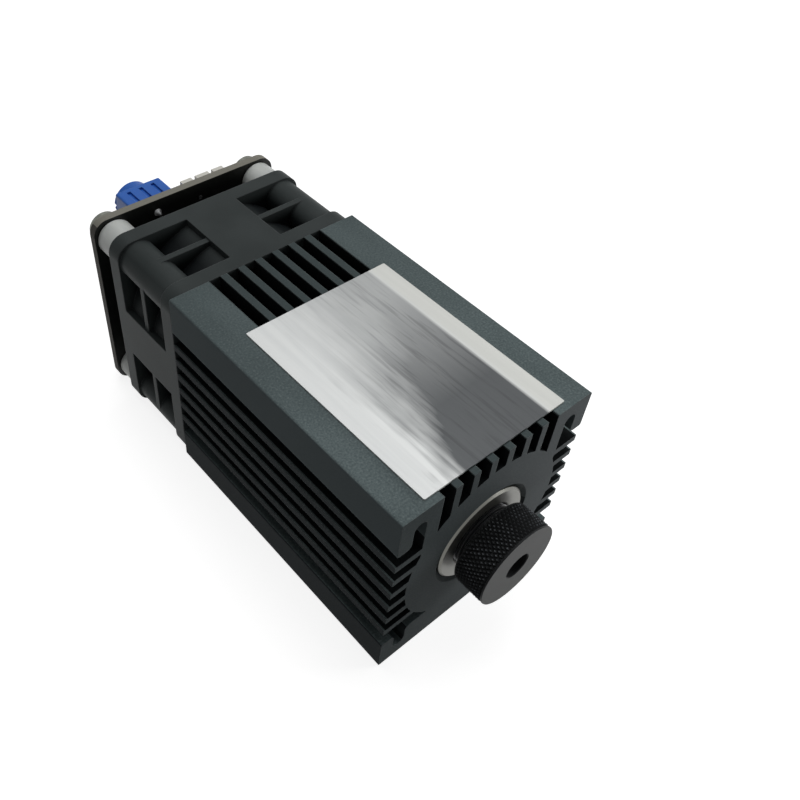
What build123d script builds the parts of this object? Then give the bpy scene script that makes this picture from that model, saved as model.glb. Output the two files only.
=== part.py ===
from build123d import *
import math
import os

# Laser diode module: a finned heat sink holds a turned barrel with the laser diode and a
# focusing knob, and carries an axial fan and a driver board behind it.
# Millimetres. X is right, Y runs back from the beam exit and Z is up. The origin lies on the
# base face, under the optical axis, half way along the heat sink.

# Side of the square that heat sink, fan and driver board share, and the share of it between
# screws on every fan of this kind
MODULE_SIZE = 40.0
SCREW_SHARE = 0.8

# Heat sink, one aluminium extrusion
SINK_LENGTH = 56.5
FIN_LENGTH = 3.4
BASE_THICKNESS = 6.8
RAIL_WIDTH = 7.95
RAIL_HEIGHT = 7.7
CHANNEL_WIDTH = 2.5
CHANNEL_MOUTH_RADIUS = 1.0
FIN_COUNT = 6
FIN_THICKNESS = 1.35
FIN_ROOT_DEPTH = 8.0
SINK_EDGE_RADIUS = 0.4
BORE_CHAMFER = 0.9
BASE_HOLE_RADIUS = 1.25
BASE_HOLE_DEPTH = 6.0
BASE_HOLE_SPACING_X = 20.0
BASE_HOLE_SPACING_Y = 30.0

# Blank plate on top of the heat sink
PLATE_WIDTH = 29.6
PLATE_LENGTH = 40.9
PLATE_THICKNESS = 0.3
PLATE_CORNER_RADIUS = 0.25
PLATE_SETBACK = 1.3

# Laser barrel, with stations measured back from its front face
BARREL_DIAMETER = 18.5
BARREL_LENGTH = 38.0
BARREL_CLEARANCE = 0.02
BARREL_CHAMFER = 0.35
SPRING_SEAT = 22.5
FLANGE_SEAT = 24.0
GRUB_RADIUS = 2.0
GRUB_CLEARANCE = 0.02
GRUB_RECESS = 2.5
GRUB_SOCKET = 2.0
GRUB_SOCKET_DEPTH = 2.5
GRUB_FRONT_MARGIN = 11.0
GRUB_REAR_MARGIN = 5.0

# Laser diode in its can
FLANGE_DIAMETER = 9.0
FLANGE_THICKNESS = 1.5
FLANGE_CLEARANCE = 0.02
CAN_DIAMETER = 6.6
CAN_HEIGHT = 3.5
CAN_WINDOW_RADIUS = 1.0
CAN_WINDOW_DEPTH = 0.3
CAN_CLEARANCE = 0.4
LEAD_COUNT = 3
LEAD_CIRCLE = 2.54
LEAD_RADIUS = 0.225
LEAD_LENGTH = 9.0
CLAMP_DIAMETER = 10.4
CLAMP_LENGTH = 3.0
CLAMP_BORE = 6.0
CLAMP_SLOT_WIDTH = 1.2
CLAMP_SLOT_DEPTH = 1.0

# Lens sleeve, lens and focusing knob
SLEEVE_DIAMETER = 12.0
SLEEVE_CLEARANCE = 0.03
SLEEVE_REACH = 17.5
LIGHT_PATH_RADIUS = 2.9
LENS_DIAMETER = 7.0
LENS_EDGE = 2.2
LENS_CROWN = 0.9
LENS_CLEARANCE = 0.02
LENS_STATION = 12.3
RETAINER_LENGTH = 1.5
RETAINER_BORE = 5.6
KNOB_DIAMETER = 16.0
KNOB_LENGTH = 6.05
KNOB_GAP = 1.6
KNOB_FACE = 1.45
KNOB_CHAMFER = 0.2
KNOB_APERTURE = 4.8
SPRING_WIRE = 0.6
SPRING_MEAN_RADIUS = 4.9
SPRING_TURNS = 3.5

# Axial fan, with stations measured back from its front face
FAN_DEPTH = 20.0
FAN_CORNER_RADIUS = 3.3
FLANGE_PLATE = 3.2
DUCT_MARGIN = 1.5
DUCT_WALL = 0.9
PAD_WIDTH = 11.0
FAN_HOLE_RADIUS = 1.75
RIB_THICKNESS = 1.2
RIB_INSET = 0.4
STRUT_COUNT = 4
STRUT_WIDTH = 2.2
STRUT_START = 0.4
STRUT_THICKNESS = 1.8
MOTOR_BASE_RADIUS = 11.3
MOTOR_BASE_THICKNESS = 1.6
BEARING_TUBE_WALL = 0.8
BEARING_TUBE_SETBACK = 7.0

# Impeller
HUB_RADIUS = 11.2
HUB_WALL = 0.9
HUB_FRONT = 4.6
HUB_SETBACK = 0.8
HUB_ROUND = 0.8
HUB_BOSS_RADIUS = 2.2
HUB_BOSS_LENGTH = 3.0
BLADE_COUNT = 7
BLADE_GAP = 0.5
BLADE_MIDDLE = 11.2
BLADE_ROOT_CHORD = 13.0
BLADE_TIP_CHORD = 18.0
BLADE_ROOT_ANGLE = 42.0
BLADE_TIP_ANGLE = 52.0
BLADE_CAMBER = 1.1
BLADE_THICKNESS = 0.9
BLADE_EDGE = 0.4
BLADE_OVERRUN = 1.0
YOKE_THICKNESS = 0.6
MAGNET_THICKNESS = 1.4
MAGNET_LENGTH = 9.0
PRESS_GAP = 0.01
SHAFT_RADIUS = 1.0
SHAFT_TAIL = 0.9
SHAFT_CLEARANCE = 0.02
CLIP_RADIUS = 2.0
CLIP_THICKNESS = 0.4
CLIP_GAP = 0.2

# Fan motor's still parts
BEARING_RADIUS = 2.5
BEARING_FRONT = 3.4
AIR_GAP = 0.4
POLE_COUNT = 4
POLE_WIDTH = 2.4
POLE_SHOE = 1.0
POLE_SLOT = 2.4
CORE_RING = 1.0
STACK_FRONT = 6.6
STACK_LENGTH = 4.5
COIL_THICKNESS = 1.0
COIL_GAP = 0.1
FAN_BOARD_FRONT = 3.0
FAN_BOARD_THICKNESS = 1.0
FAN_BOARD_RADIUS = 9.3

# Screws and spacers
SCREW_RADIUS = 1.45
SCREW_CORE_RADIUS = 1.2
SCREW_LENGTH = 35.0
SCREW_HEAD_RADIUS = 3.0
SCREW_HEAD_HEIGHT = 2.8
SCREW_HEAD_ROUND = 0.6
SCREW_RECESS_WIDTH = 0.9
SCREW_RECESS_LENGTH = 3.2
SCREW_RECESS_DEPTH = 1.1
SPACER_RADIUS = 3.5
SPACER_LENGTH = 5.0
SPACER_CHAMFER = 0.25
SCREW_HOLE_CLEARANCE = 0.15

# Driver board; what is soldered to it is placed in steps of a fortieth of its side
BOARD_THICKNESS = 1.6
BOARD_CORNER_RADIUS = 3.0
BOARD_STEP = MODULE_SIZE / 40
PIN_HOLE_CLEARANCE = 0.1

# Trimmer with a finger dial
TRIMMER_SIZE = 9.5
TRIMMER_EDGE_GAP = 0.55
TRIMMER_X = -6.65 * BOARD_STEP
TRIMMER_UP = MODULE_SIZE / 2 - TRIMMER_EDGE_GAP - TRIMMER_SIZE / 2
TRIMMER_DEPTH = 5.2
TRIMMER_EDGE = 0.4
TRIMMER_PITCH = 2.54
TRIMMER_SLOT_WIDTH = 0.8
TRIMMER_SLOT_DEPTH = 0.45
TRIMMER_SLOT_LENGTH = 4.3
TRIMMER_PIN_RADIUS = 0.3
DIAL_RADIUS = 3.8
DIAL_LENGTH = 3.3
DIAL_GAP = 0.15
DIAL_EDGE = 0.4
DIAL_SLOT_WIDTH = 0.9
DIAL_SLOT_DEPTH = 1.2
SPIGOT_RADIUS = 1.6
SPIGOT_LENGTH = 3.0
SPIGOT_CLEARANCE = 0.05

# Pin headers
HEADER_PITCH = 2.5
HEADER_END = 2.45
HEADER_DEPTH = 5.75
HEADER_HEIGHT = 6.0
HEADER_WALL = 0.8
HEADER_FLOOR = 2.2
HEADER_NOTCH = 0.9
HEADER_NOTCH_DEPTH = 3.4
PIN_SIDE = 0.64
PIN_TAIL = 1.4
PIN_REACH = 5.0
POWER_PINS = 3
POWER_EDGE_GAP = 3.9
POWER_HEAD_GAP = 0.1
FAN_PINS = 2
FAN_PLUG_X = -7.0 * BOARD_STEP
LASER_PINS = 2
LASER_PLUG_X = 6.5 * BOARD_STEP
LOWER_PLUG_EDGE_GAP = 4.125

# Parts soldered to the back of the board
INDUCTOR_X = -11.5 * BOARD_STEP
INDUCTOR_UP = 1.0 * BOARD_STEP
INDUCTOR_SIZE = 10.0
INDUCTOR_HEIGHT = 4.5
INDUCTOR_CORNER = 1.6
CHIP_X = 0.5 * BOARD_STEP
CHIP_UP = 2.6 * BOARD_STEP
CHIP_LENGTH = 4.9
CHIP_WIDTH = 3.9
CHIP_HEIGHT = 1.5
CHIP_STANDOFF = 0.15
CHIP_LEAD_PAIRS = 4
CHIP_LEAD_PITCH = 1.27
CHIP_LEAD_WIDTH = 0.4
CHIP_LEAD_THICKNESS = 0.2
CHIP_LEAD_SPAN = 6.0
CHIP_FOOT = 0.6
CAPACITOR_X = 9.8 * BOARD_STEP
CAPACITOR_UP = 2.8 * BOARD_STEP
CAPACITOR_RADIUS = 3.15
CAPACITOR_HEIGHT = 5.8
CAPACITOR_BASE_SIDE = 6.6
CAPACITOR_BASE_THICKNESS = 1.0
CAPACITOR_GROOVE = 0.25
RECTIFIER_X = -1.0 * BOARD_STEP
RECTIFIER_UP = -5.0 * BOARD_STEP
RECTIFIER_LENGTH = 4.4
RECTIFIER_WIDTH = 3.6
RECTIFIER_HEIGHT = 2.3
RECTIFIER_DRAFT = 0.25
RESISTOR_X = 8.0 * BOARD_STEP
RESISTOR_UP = -5.2 * BOARD_STEP
RESISTOR_LENGTH = 6.3
RESISTOR_WIDTH = 3.2
RESISTOR_HEIGHT = 0.6

# Sizes and places that follow from the ones above
HALF_SIDE = MODULE_SIZE / 2
AXIS_Z = HALF_SIDE
CORE_RADIUS = HALF_SIDE - FIN_LENGTH
FIN_PITCH = (2 * (HALF_SIDE - RAIL_WIDTH) + FIN_THICKNESS) / (FIN_COUNT + 1)
SCREW_SPACING = SCREW_SHARE * MODULE_SIZE
BOSS_RADIUS = HALF_SIDE - SCREW_SPACING / 2 - RIB_INSET
DUCT_RADIUS = HALF_SIDE - DUCT_MARGIN
HUB_REAR = FAN_DEPTH - HUB_SETBACK
BEARING_TUBE_TOP = FAN_DEPTH - BEARING_TUBE_SETBACK
FRONT = -SINK_LENGTH / 2
FAN_FRONT = SINK_LENGTH / 2
FAN_REAR = FAN_FRONT + FAN_DEPTH
BOARD_FRONT = FAN_REAR + SPACER_LENGTH
BOARD_REAR = BOARD_FRONT + BOARD_THICKNESS
OPTICAL_AXIS = Axis((0, 0, AXIS_Z), (0, 1, 0))
SCREW_PLACES = [(x * SCREW_SPACING / 2, z * SCREW_SPACING / 2) for x in (-1, 1) for z in (-1, 1)]
BORE_RADIUS = BARREL_DIAMETER / 2 + BARREL_CLEARANCE
GRUB_STATIONS = [GRUB_FRONT_MARGIN, BARREL_LENGTH - GRUB_REAR_MARGIN]
BEARING_TUBE_BORE = BEARING_RADIUS + SHAFT_CLEARANCE
BEARING_TUBE_RADIUS = BEARING_TUBE_BORE + BEARING_TUBE_WALL
MAGNET_OUTER = HUB_RADIUS - HUB_WALL - YOKE_THICKNESS - 2 * PRESS_GAP
MAGNET_INNER = MAGNET_OUTER - MAGNET_THICKNESS
STACK_RADIUS = MAGNET_INNER - AIR_GAP
POWER_WIDTH = (POWER_PINS - 1) * HEADER_PITCH + 2 * HEADER_END
POWER_X = SCREW_SPACING / 2 - SCREW_HEAD_RADIUS - POWER_HEAD_GAP - POWER_WIDTH / 2
POWER_UP = HALF_SIDE - POWER_EDGE_GAP - HEADER_DEPTH / 2
LOWER_PLUG_UP = LOWER_PLUG_EDGE_GAP + HEADER_DEPTH / 2 - HALF_SIDE


def section_plane(y):
    """Plane across the optical axis: sketch x is X and sketch y is height above the axis."""
    return Plane(origin=(0, y, AXIS_Z), x_dir=(1, 0, 0), z_dir=(0, -1, 0))


def bar(sketch, y_front, y_rear):
    """Solid that carries a sketch from y_front back to y_rear."""
    return extrude(section_plane(y_rear) * sketch, y_rear - y_front)


def turned(outline, x=0, up=0):
    """Solid turned about a line parallel to Y, from (radius, y) points."""
    face = make_face(Polyline(*outline, close=True))
    return Pos(x, 0, AXIS_Z + up) * revolve(face, axis=Axis.Y)


def tube(outer, inner, y_front, y_rear, x=0, up=0):
    """Plain ring about a line parallel to Y."""
    return turned([(inner, y_front), (outer, y_front), (outer, y_rear), (inner, y_rear)], x, up)


def rod(radius, y_front, y_rear, x=0, up=0):
    """Plain cylinder about a line parallel to Y."""
    return turned([(0, y_front), (radius, y_front), (radius, y_rear), (0, y_rear)], x, up)


def block(x, up, width, height, y_front, y_rear):
    """Rectangular block centred at x and up in the section plane."""
    return bar(Pos(x, up) * Rectangle(width, height), y_front, y_rear)


def fin_offsets():
    """Middle of each fin along its side."""
    first = -(FIN_COUNT - 1) * FIN_PITCH / 2
    return [first + i * FIN_PITCH for i in range(FIN_COUNT)]


def sink_section():
    """Section of the extrusion: round core, flat base, corner rails and three banks of fins."""
    base_top = BASE_THICKNESS - HALF_SIDE
    base_middle = Pos(0, base_top - BASE_THICKNESS / 2)
    section = Circle(CORE_RADIUS) + base_middle * Rectangle(MODULE_SIZE, BASE_THICKNESS)
    rail_bottom = HALF_SIDE - RAIL_HEIGHT
    rail = Rectangle(RAIL_WIDTH, RAIL_HEIGHT)
    channel_inner = (SCREW_SPACING - CHANNEL_WIDTH) / 2
    leg_width = channel_inner - (HALF_SIDE - RAIL_WIDTH)
    leg = Rectangle(leg_width, HALF_SIDE)
    fin_middle = HALF_SIDE - FIN_ROOT_DEPTH / 2
    for side in (-1, 1):
        section += Pos(side * (HALF_SIDE - RAIL_WIDTH / 2), HALF_SIDE - RAIL_HEIGHT / 2) * rail
        section += Pos(side * (channel_inner - leg_width / 2), HALF_SIDE / 2) * leg
        for offset in fin_offsets():
            section += Pos(side * fin_middle, offset) * Rectangle(FIN_ROOT_DEPTH, FIN_THICKNESS)
    for offset in fin_offsets():
        section += Pos(offset, fin_middle) * Rectangle(FIN_THICKNESS, FIN_ROOT_DEPTH)
    for x, up in SCREW_PLACES:
        mouth = rail_bottom if up > 0 else base_top
        reach = abs(mouth - up)
        towards_mouth = -math.copysign(reach / 2, up)
        section -= Pos(x, up + towards_mouth) * Rectangle(CHANNEL_WIDTH, reach)
        section -= Pos(x, up) * Circle(CHANNEL_WIDTH / 2)
    return section


def sink_corner(vertex, x, up):
    """Whether a vertex of the extrusion stands at this place of its section, on either side."""
    place = Vector(vertex.X, vertex.Y, vertex.Z)
    return abs(abs(place.X) - x) < 1e-4 and abs(place.Z - AXIS_Z - up) < 1e-4


def along_corner(solid, x, up):
    """Edges that run the length of the extrusion at a corner of its section."""
    return [
        edge
        for edge in solid.edges().filter_by(Axis.Y)
        if all(sink_corner(vertex, x, up) for vertex in edge.vertices())
    ]


def heat_sink():
    solid = bar(sink_section(), FRONT, -FRONT)
    rail_bottom = HALF_SIDE - RAIL_HEIGHT
    base_top = BASE_THICKNESS - HALF_SIDE
    channel_outer = (SCREW_SPACING + CHANNEL_WIDTH) / 2
    channel_inner = (SCREW_SPACING - CHANNEL_WIDTH) / 2
    mouth = along_corner(solid, channel_outer, rail_bottom) + along_corner(solid, channel_outer, base_top)
    solid = fillet(mouth + along_corner(solid, channel_inner, base_top), CHANNEL_MOUTH_RADIUS)
    corners = along_corner(solid, HALF_SIDE, HALF_SIDE) + along_corner(solid, HALF_SIDE, -HALF_SIDE)
    corners += along_corner(solid, HALF_SIDE, rail_bottom) + along_corner(solid, HALF_SIDE, base_top)
    solid = fillet(corners, SINK_EDGE_RADIUS)
    solid -= turned(
        [
            (0, FRONT),
            (BORE_RADIUS + BORE_CHAMFER, FRONT),
            (BORE_RADIUS, FRONT + BORE_CHAMFER),
            (BORE_RADIUS, -FRONT),
            (0, -FRONT),
        ]
    )
    for x in (-1, 1):
        for y in (-1, 1):
            place = Pos(x * BASE_HOLE_SPACING_X / 2, y * BASE_HOLE_SPACING_Y / 2, BASE_HOLE_DEPTH / 2)
            solid -= place * Cylinder(BASE_HOLE_RADIUS, BASE_HOLE_DEPTH)
    for station in GRUB_STATIONS:
        solid -= Pos(0, FRONT + station, AXIS_Z / 2) * Cylinder(GRUB_RADIUS + GRUB_CLEARANCE, AXIS_Z)
    return solid


def label_plate():
    """Blank foil plate that bridges the top grooves."""
    sheet = extrude(RectangleRounded(PLATE_WIDTH, PLATE_LENGTH, PLATE_CORNER_RADIUS), PLATE_THICKNESS)
    return Pos(0, FRONT + PLATE_SETBACK + PLATE_LENGTH / 2, MODULE_SIZE) * sheet


def laser_barrel():
    """Turned housing: sleeve bore in front, aperture, flange seat and clamp bore behind."""
    outer = BARREL_DIAMETER / 2
    front_bore = SLEEVE_DIAMETER / 2 + SLEEVE_CLEARANCE
    aperture = CAN_DIAMETER / 2 + CAN_CLEARANCE
    seat_bore = FLANGE_DIAMETER / 2 + FLANGE_CLEARANCE
    clamp_bore = CLAMP_DIAMETER / 2 + FLANGE_CLEARANCE
    spring_seat = FRONT + SPRING_SEAT
    flange_seat = FRONT + FLANGE_SEAT
    clamp_front = flange_seat + FLANGE_THICKNESS
    rear = FRONT + BARREL_LENGTH
    return turned(
        [
            (front_bore + BARREL_CHAMFER, FRONT),
            (outer - BARREL_CHAMFER, FRONT),
            (outer, FRONT + BARREL_CHAMFER),
            (outer, rear),
            (clamp_bore, rear),
            (clamp_bore, clamp_front),
            (seat_bore, clamp_front),
            (seat_bore, flange_seat),
            (aperture, flange_seat),
            (aperture, spring_seat),
            (front_bore, spring_seat),
            (front_bore, FRONT + BARREL_CHAMFER),
        ]
    )


def barrel_grub_screws():
    """Socket grub screws that come up through the base and hold the barrel."""
    length = AXIS_Z - BARREL_DIAMETER / 2 - GRUB_RECESS
    body = Pos(0, 0, GRUB_RECESS + length / 2) * Cylinder(GRUB_RADIUS, length)
    socket = extrude(RegularPolygon(GRUB_SOCKET / 2, 6, major_radius=False), GRUB_SOCKET_DEPTH)
    screws = []
    for station in GRUB_STATIONS:
        screws.append(Pos(0, FRONT + station, 0) * (body - Pos(0, 0, GRUB_RECESS) * socket))
    return Compound(children=screws)


def laser_diode():
    """Sealed can on its flange, with a recessed window."""
    flange_front = FRONT + FLANGE_SEAT
    can_front = flange_front - CAN_HEIGHT
    return turned(
        [
            (0, can_front + CAN_WINDOW_DEPTH),
            (CAN_WINDOW_RADIUS, can_front + CAN_WINDOW_DEPTH),
            (CAN_WINDOW_RADIUS, can_front),
            (CAN_DIAMETER / 2, can_front),
            (CAN_DIAMETER / 2, flange_front),
            (FLANGE_DIAMETER / 2, flange_front),
            (FLANGE_DIAMETER / 2, flange_front + FLANGE_THICKNESS),
            (0, flange_front + FLANGE_THICKNESS),
        ]
    )


def diode_leads():
    """Round leads of the diode, on their circle behind the flange."""
    start = FRONT + FLANGE_SEAT + FLANGE_THICKNESS
    leads = []
    for i in range(LEAD_COUNT):
        turn = math.radians(90 + i * 360 / LEAD_COUNT)
        x, up = LEAD_CIRCLE / 2 * math.cos(turn), LEAD_CIRCLE / 2 * math.sin(turn)
        leads.append(rod(LEAD_RADIUS, start, start + LEAD_LENGTH, x, up))
    return Compound(children=leads)


def diode_clamp_ring():
    """Threaded ring that presses the diode's flange on its seat, slotted for a pin spanner."""
    front = FRONT + FLANGE_SEAT + FLANGE_THICKNESS
    rear = front + CLAMP_LENGTH
    ring = tube(CLAMP_DIAMETER / 2, CLAMP_BORE / 2, front, rear)
    return ring - block(0, 0, CLAMP_DIAMETER, CLAMP_SLOT_WIDTH, rear - CLAMP_SLOT_DEPTH, rear)


def lens_sleeve():
    """Threaded sleeve that carries the lens in the barrel and the knob on its front end."""
    front = FRONT - KNOB_GAP - KNOB_LENGTH + KNOB_FACE
    lens_bore = LENS_DIAMETER / 2 + LENS_CLEARANCE
    return turned(
        [
            (LIGHT_PATH_RADIUS, front),
            (SLEEVE_DIAMETER / 2, front),
            (SLEEVE_DIAMETER / 2, FRONT + SLEEVE_REACH),
            (lens_bore, FRONT + SLEEVE_REACH),
            (lens_bore, FRONT + LENS_STATION),
            (LIGHT_PATH_RADIUS, FRONT + LENS_STATION),
        ]
    )


def focus_lens():
    """Collimating lens: flat back, rim against the sleeve's shoulder and a domed front."""
    rim = FRONT + LENS_STATION
    dome_radius = LIGHT_PATH_RADIUS - LENS_CLEARANCE
    ball_radius = (dome_radius**2 + LENS_CROWN**2) / (2 * LENS_CROWN)
    ball = Pos(0, rim - LENS_CROWN + ball_radius, AXIS_Z) * Sphere(ball_radius)
    dome = rod(dome_radius, rim - LENS_CROWN, rim) & ball
    return rod(LENS_DIAMETER / 2, rim, rim + LENS_EDGE) + dome


def lens_retainer():
    front = FRONT + LENS_STATION + LENS_EDGE
    return tube(LENS_DIAMETER / 2, RETAINER_BORE / 2, front, front + RETAINER_LENGTH)


def focus_knob():
    """Turned knob with a plain face, a beam aperture and a socket for the sleeve."""
    rear = FRONT - KNOB_GAP
    front = rear - KNOB_LENGTH
    socket_floor = front + KNOB_FACE
    socket = SLEEVE_DIAMETER / 2 + PRESS_GAP
    return turned(
        [
            (KNOB_APERTURE / 2, front),
            (KNOB_DIAMETER / 2 - KNOB_CHAMFER, front),
            (KNOB_DIAMETER / 2, front + KNOB_CHAMFER),
            (KNOB_DIAMETER / 2, rear - KNOB_CHAMFER),
            (KNOB_DIAMETER / 2 - KNOB_CHAMFER, rear),
            (socket, rear),
            (socket, socket_floor),
            (KNOB_APERTURE / 2, socket_floor),
        ]
    )


def focus_spring():
    """Compression spring that takes up the play of the sleeve's thread."""
    front = FRONT + SLEEVE_REACH + SPRING_WIRE / 2
    length = SPRING_SEAT - SLEEVE_REACH - SPRING_WIRE
    coil = Helix(length / SPRING_TURNS, length, SPRING_MEAN_RADIUS)
    start = Plane(origin=coil @ 0, z_dir=coil % 0)
    wire = sweep(start * RegularPolygon(SPRING_WIRE / 2, 8), path=coil, is_frenet=True)
    return Pos(0, front, AXIS_Z) * Rot(X=-90) * wire


def fan_outline(corner, inset=0.0):
    """Square frame outline with the duct and the screw holes cut out."""
    side = MODULE_SIZE - 2 * inset
    outline = RectangleRounded(side, side, corner) - Circle(DUCT_RADIUS)
    for x, up in SCREW_PLACES:
        outline -= Pos(x, up) * Circle(FAN_HOLE_RADIUS)
    return outline


def fan_waist():
    """Section between the flanges: duct wall, side pads and screw bosses."""
    waist = Circle(DUCT_RADIUS + DUCT_WALL)
    waist += Rectangle(MODULE_SIZE, PAD_WIDTH) + Rectangle(PAD_WIDTH, MODULE_SIZE)
    for x, up in SCREW_PLACES:
        waist += Pos(x, up) * Circle(BOSS_RADIUS)
    waist -= Circle(DUCT_RADIUS)
    for x, up in SCREW_PLACES:
        waist -= Pos(x, up) * Circle(FAN_HOLE_RADIUS)
    return waist


def fan_frame():
    """Moulded frame: two flanges, waist, middle rib, struts, motor base and bearing tube."""
    rib_middle = FAN_FRONT + FAN_DEPTH / 2
    frame = bar(fan_waist(), FAN_FRONT, FAN_REAR)
    frame += bar(fan_outline(FAN_CORNER_RADIUS), FAN_FRONT, FAN_FRONT + FLANGE_PLATE)
    frame += bar(fan_outline(FAN_CORNER_RADIUS), FAN_REAR - FLANGE_PLATE, FAN_REAR)
    rib = fan_outline(BOSS_RADIUS, RIB_INSET)
    frame += bar(rib, rib_middle - RIB_THICKNESS / 2, rib_middle + RIB_THICKNESS / 2)
    base_front = FAN_FRONT + STRUT_START
    base_rear = base_front + MOTOR_BASE_THICKNESS
    strut_length = DUCT_RADIUS + DUCT_WALL / 2
    struts = Circle(MOTOR_BASE_RADIUS)
    for i in range(STRUT_COUNT):
        arm = Pos(strut_length / 2, MOTOR_BASE_RADIUS / 2) * Rectangle(strut_length, STRUT_WIDTH)
        struts += Rot(Z=i * 360 / STRUT_COUNT) * arm
    struts &= Circle(strut_length)
    frame += bar(Circle(MOTOR_BASE_RADIUS), base_front, base_rear)
    frame += bar(struts, base_front, base_front + STRUT_THICKNESS) - rod(
        MOTOR_BASE_RADIUS, base_rear, base_front + STRUT_THICKNESS
    )
    frame += tube(BEARING_TUBE_RADIUS, BEARING_TUBE_BORE, base_rear, FAN_FRONT + BEARING_TUBE_TOP)
    return frame


def blade_section(radius, chord, angle):
    """Thin cambered section of a blade, square to the spoke, at a radius."""
    plane = Plane(origin=(radius, 0, 0), x_dir=(0, 0, 1), z_dir=(1, 0, 0))
    half = chord / 2
    edge = BLADE_EDGE / 2
    back = ThreePointArc((-half, edge), (0, BLADE_CAMBER + BLADE_THICKNESS / 2), (half, edge))
    belly = ThreePointArc((half, -edge), (0, BLADE_CAMBER - BLADE_THICKNESS / 2), (-half, -edge))
    outline = back + Line(back @ 1, belly @ 0) + belly + Line(belly @ 1, back @ 0)
    return plane * Rot(Z=angle) * make_face(outline)


def fan_rotor():
    """Moulded impeller: open cup with a shaft boss and a ring of twisted blades."""
    front = FAN_FRONT + HUB_FRONT
    rear = FAN_FRONT + HUB_REAR
    inner = HUB_RADIUS - HUB_WALL
    floor = rear - HUB_WALL
    bore = SHAFT_RADIUS + PRESS_GAP
    boss_front = floor - HUB_BOSS_LENGTH
    hub = turned(
        [
            (inner, front),
            (HUB_RADIUS, front),
            (HUB_RADIUS, rear - HUB_ROUND),
            (HUB_RADIUS - HUB_ROUND, rear),
            (0, rear),
            (0, floor),
            (bore, floor),
            (bore, boss_front),
            (HUB_BOSS_RADIUS, boss_front),
            (HUB_BOSS_RADIUS, floor),
            (inner, floor),
        ]
    )
    tip = DUCT_RADIUS - BLADE_GAP
    root = HUB_RADIUS - HUB_WALL / 2
    loft_tip = DUCT_RADIUS + BLADE_OVERRUN
    blade = loft(
        [
            blade_section(root, BLADE_ROOT_CHORD, BLADE_ROOT_ANGLE),
            blade_section(loft_tip, BLADE_TIP_CHORD, BLADE_TIP_ANGLE),
        ]
    )
    middle = FAN_FRONT + BLADE_MIDDLE
    envelope = tube(tip, inner, front, FAN_REAR - BLADE_GAP)
    for i in range(BLADE_COUNT):
        turn = Rot(Y=i * 360 / BLADE_COUNT) * Rot(X=-90)
        hub += envelope & (Pos(0, middle, AXIS_Z) * turn * blade)
    return hub


def rotor_yoke():
    outer = HUB_RADIUS - HUB_WALL - PRESS_GAP
    front = FAN_FRONT + HUB_FRONT + HUB_WALL
    return tube(outer, outer - YOKE_THICKNESS, front, front + MAGNET_LENGTH)


def rotor_magnet():
    front = FAN_FRONT + HUB_FRONT + HUB_WALL
    return tube(MAGNET_OUTER, MAGNET_INNER, front, front + MAGNET_LENGTH)


def fan_shaft():
    """Steel shaft, necked near its free end for the clip."""
    tail = FAN_FRONT + STRUT_START + MOTOR_BASE_THICKNESS + CLIP_GAP
    clip_rear = FAN_FRONT + BEARING_FRONT - CLIP_GAP
    clip_front = clip_rear - CLIP_THICKNESS
    rear = FAN_FRONT + HUB_REAR - HUB_WALL
    return turned(
        [
            (0, tail),
            (SHAFT_RADIUS, tail),
            (SHAFT_RADIUS, clip_front),
            (SHAFT_TAIL, clip_front),
            (SHAFT_TAIL, clip_rear),
            (SHAFT_RADIUS, clip_rear),
            (SHAFT_RADIUS, rear),
            (0, rear),
        ]
    )


def shaft_clip():
    clip_rear = FAN_FRONT + BEARING_FRONT - CLIP_GAP
    return tube(CLIP_RADIUS, SHAFT_TAIL + PRESS_GAP, clip_rear - CLIP_THICKNESS, clip_rear)


def fan_bearing():
    front = FAN_FRONT + BEARING_FRONT
    rear = FAN_FRONT + BEARING_TUBE_TOP
    return tube(BEARING_RADIUS, SHAFT_RADIUS + SHAFT_CLEARANCE, front, rear)


def stator_core():
    """Stack of steel laminations with four poles."""
    front = FAN_FRONT + STACK_FRONT
    rear = front + STACK_LENGTH
    hole = BEARING_TUBE_RADIUS + PRESS_GAP
    shoe_inner = STACK_RADIUS - POLE_SHOE
    core = tube(hole + CORE_RING, hole, front, rear)
    shoes = tube(STACK_RADIUS, shoe_inner, front, rear)
    slot = block(STACK_RADIUS, 0, 3 * POLE_SHOE, POLE_SLOT, front, rear)
    arm_inner = hole + CORE_RING / 2
    arm_outer = STACK_RADIUS - POLE_SHOE / 2
    arm = block((arm_inner + arm_outer) / 2, 0, arm_outer - arm_inner, POLE_WIDTH, front, rear)
    for i in range(POLE_COUNT):
        shoes -= slot.rotate(OPTICAL_AXIS, (i + 0.5) * 360 / POLE_COUNT)
    core += shoes
    for i in range(POLE_COUNT):
        core += arm.rotate(OPTICAL_AXIS, i * 360 / POLE_COUNT)
    return core


def stator_coils():
    """Copper windings, one round each pole between the ring and its shoe."""
    front = FAN_FRONT + STACK_FRONT
    rear = front + STACK_LENGTH
    inner = BEARING_TUBE_RADIUS + CORE_RING + COIL_GAP
    outer = STACK_RADIUS - POLE_SHOE - COIL_GAP
    middle = (inner + outer) / 2
    width = POLE_WIDTH + 2 * COIL_THICKNESS
    coil = block(middle, 0, outer - inner, width, front - COIL_THICKNESS, rear + COIL_THICKNESS)
    coil = fillet(coil.edges().filter_by(Axis.X), COIL_THICKNESS / 2)
    coil -= block(middle, 0, outer - inner, POLE_WIDTH, front, rear)
    coil &= rod(outer, front - COIL_THICKNESS, rear + COIL_THICKNESS)
    coils = [coil.rotate(OPTICAL_AXIS, i * 360 / POLE_COUNT) for i in range(POLE_COUNT)]
    return Compound(children=coils)


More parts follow.
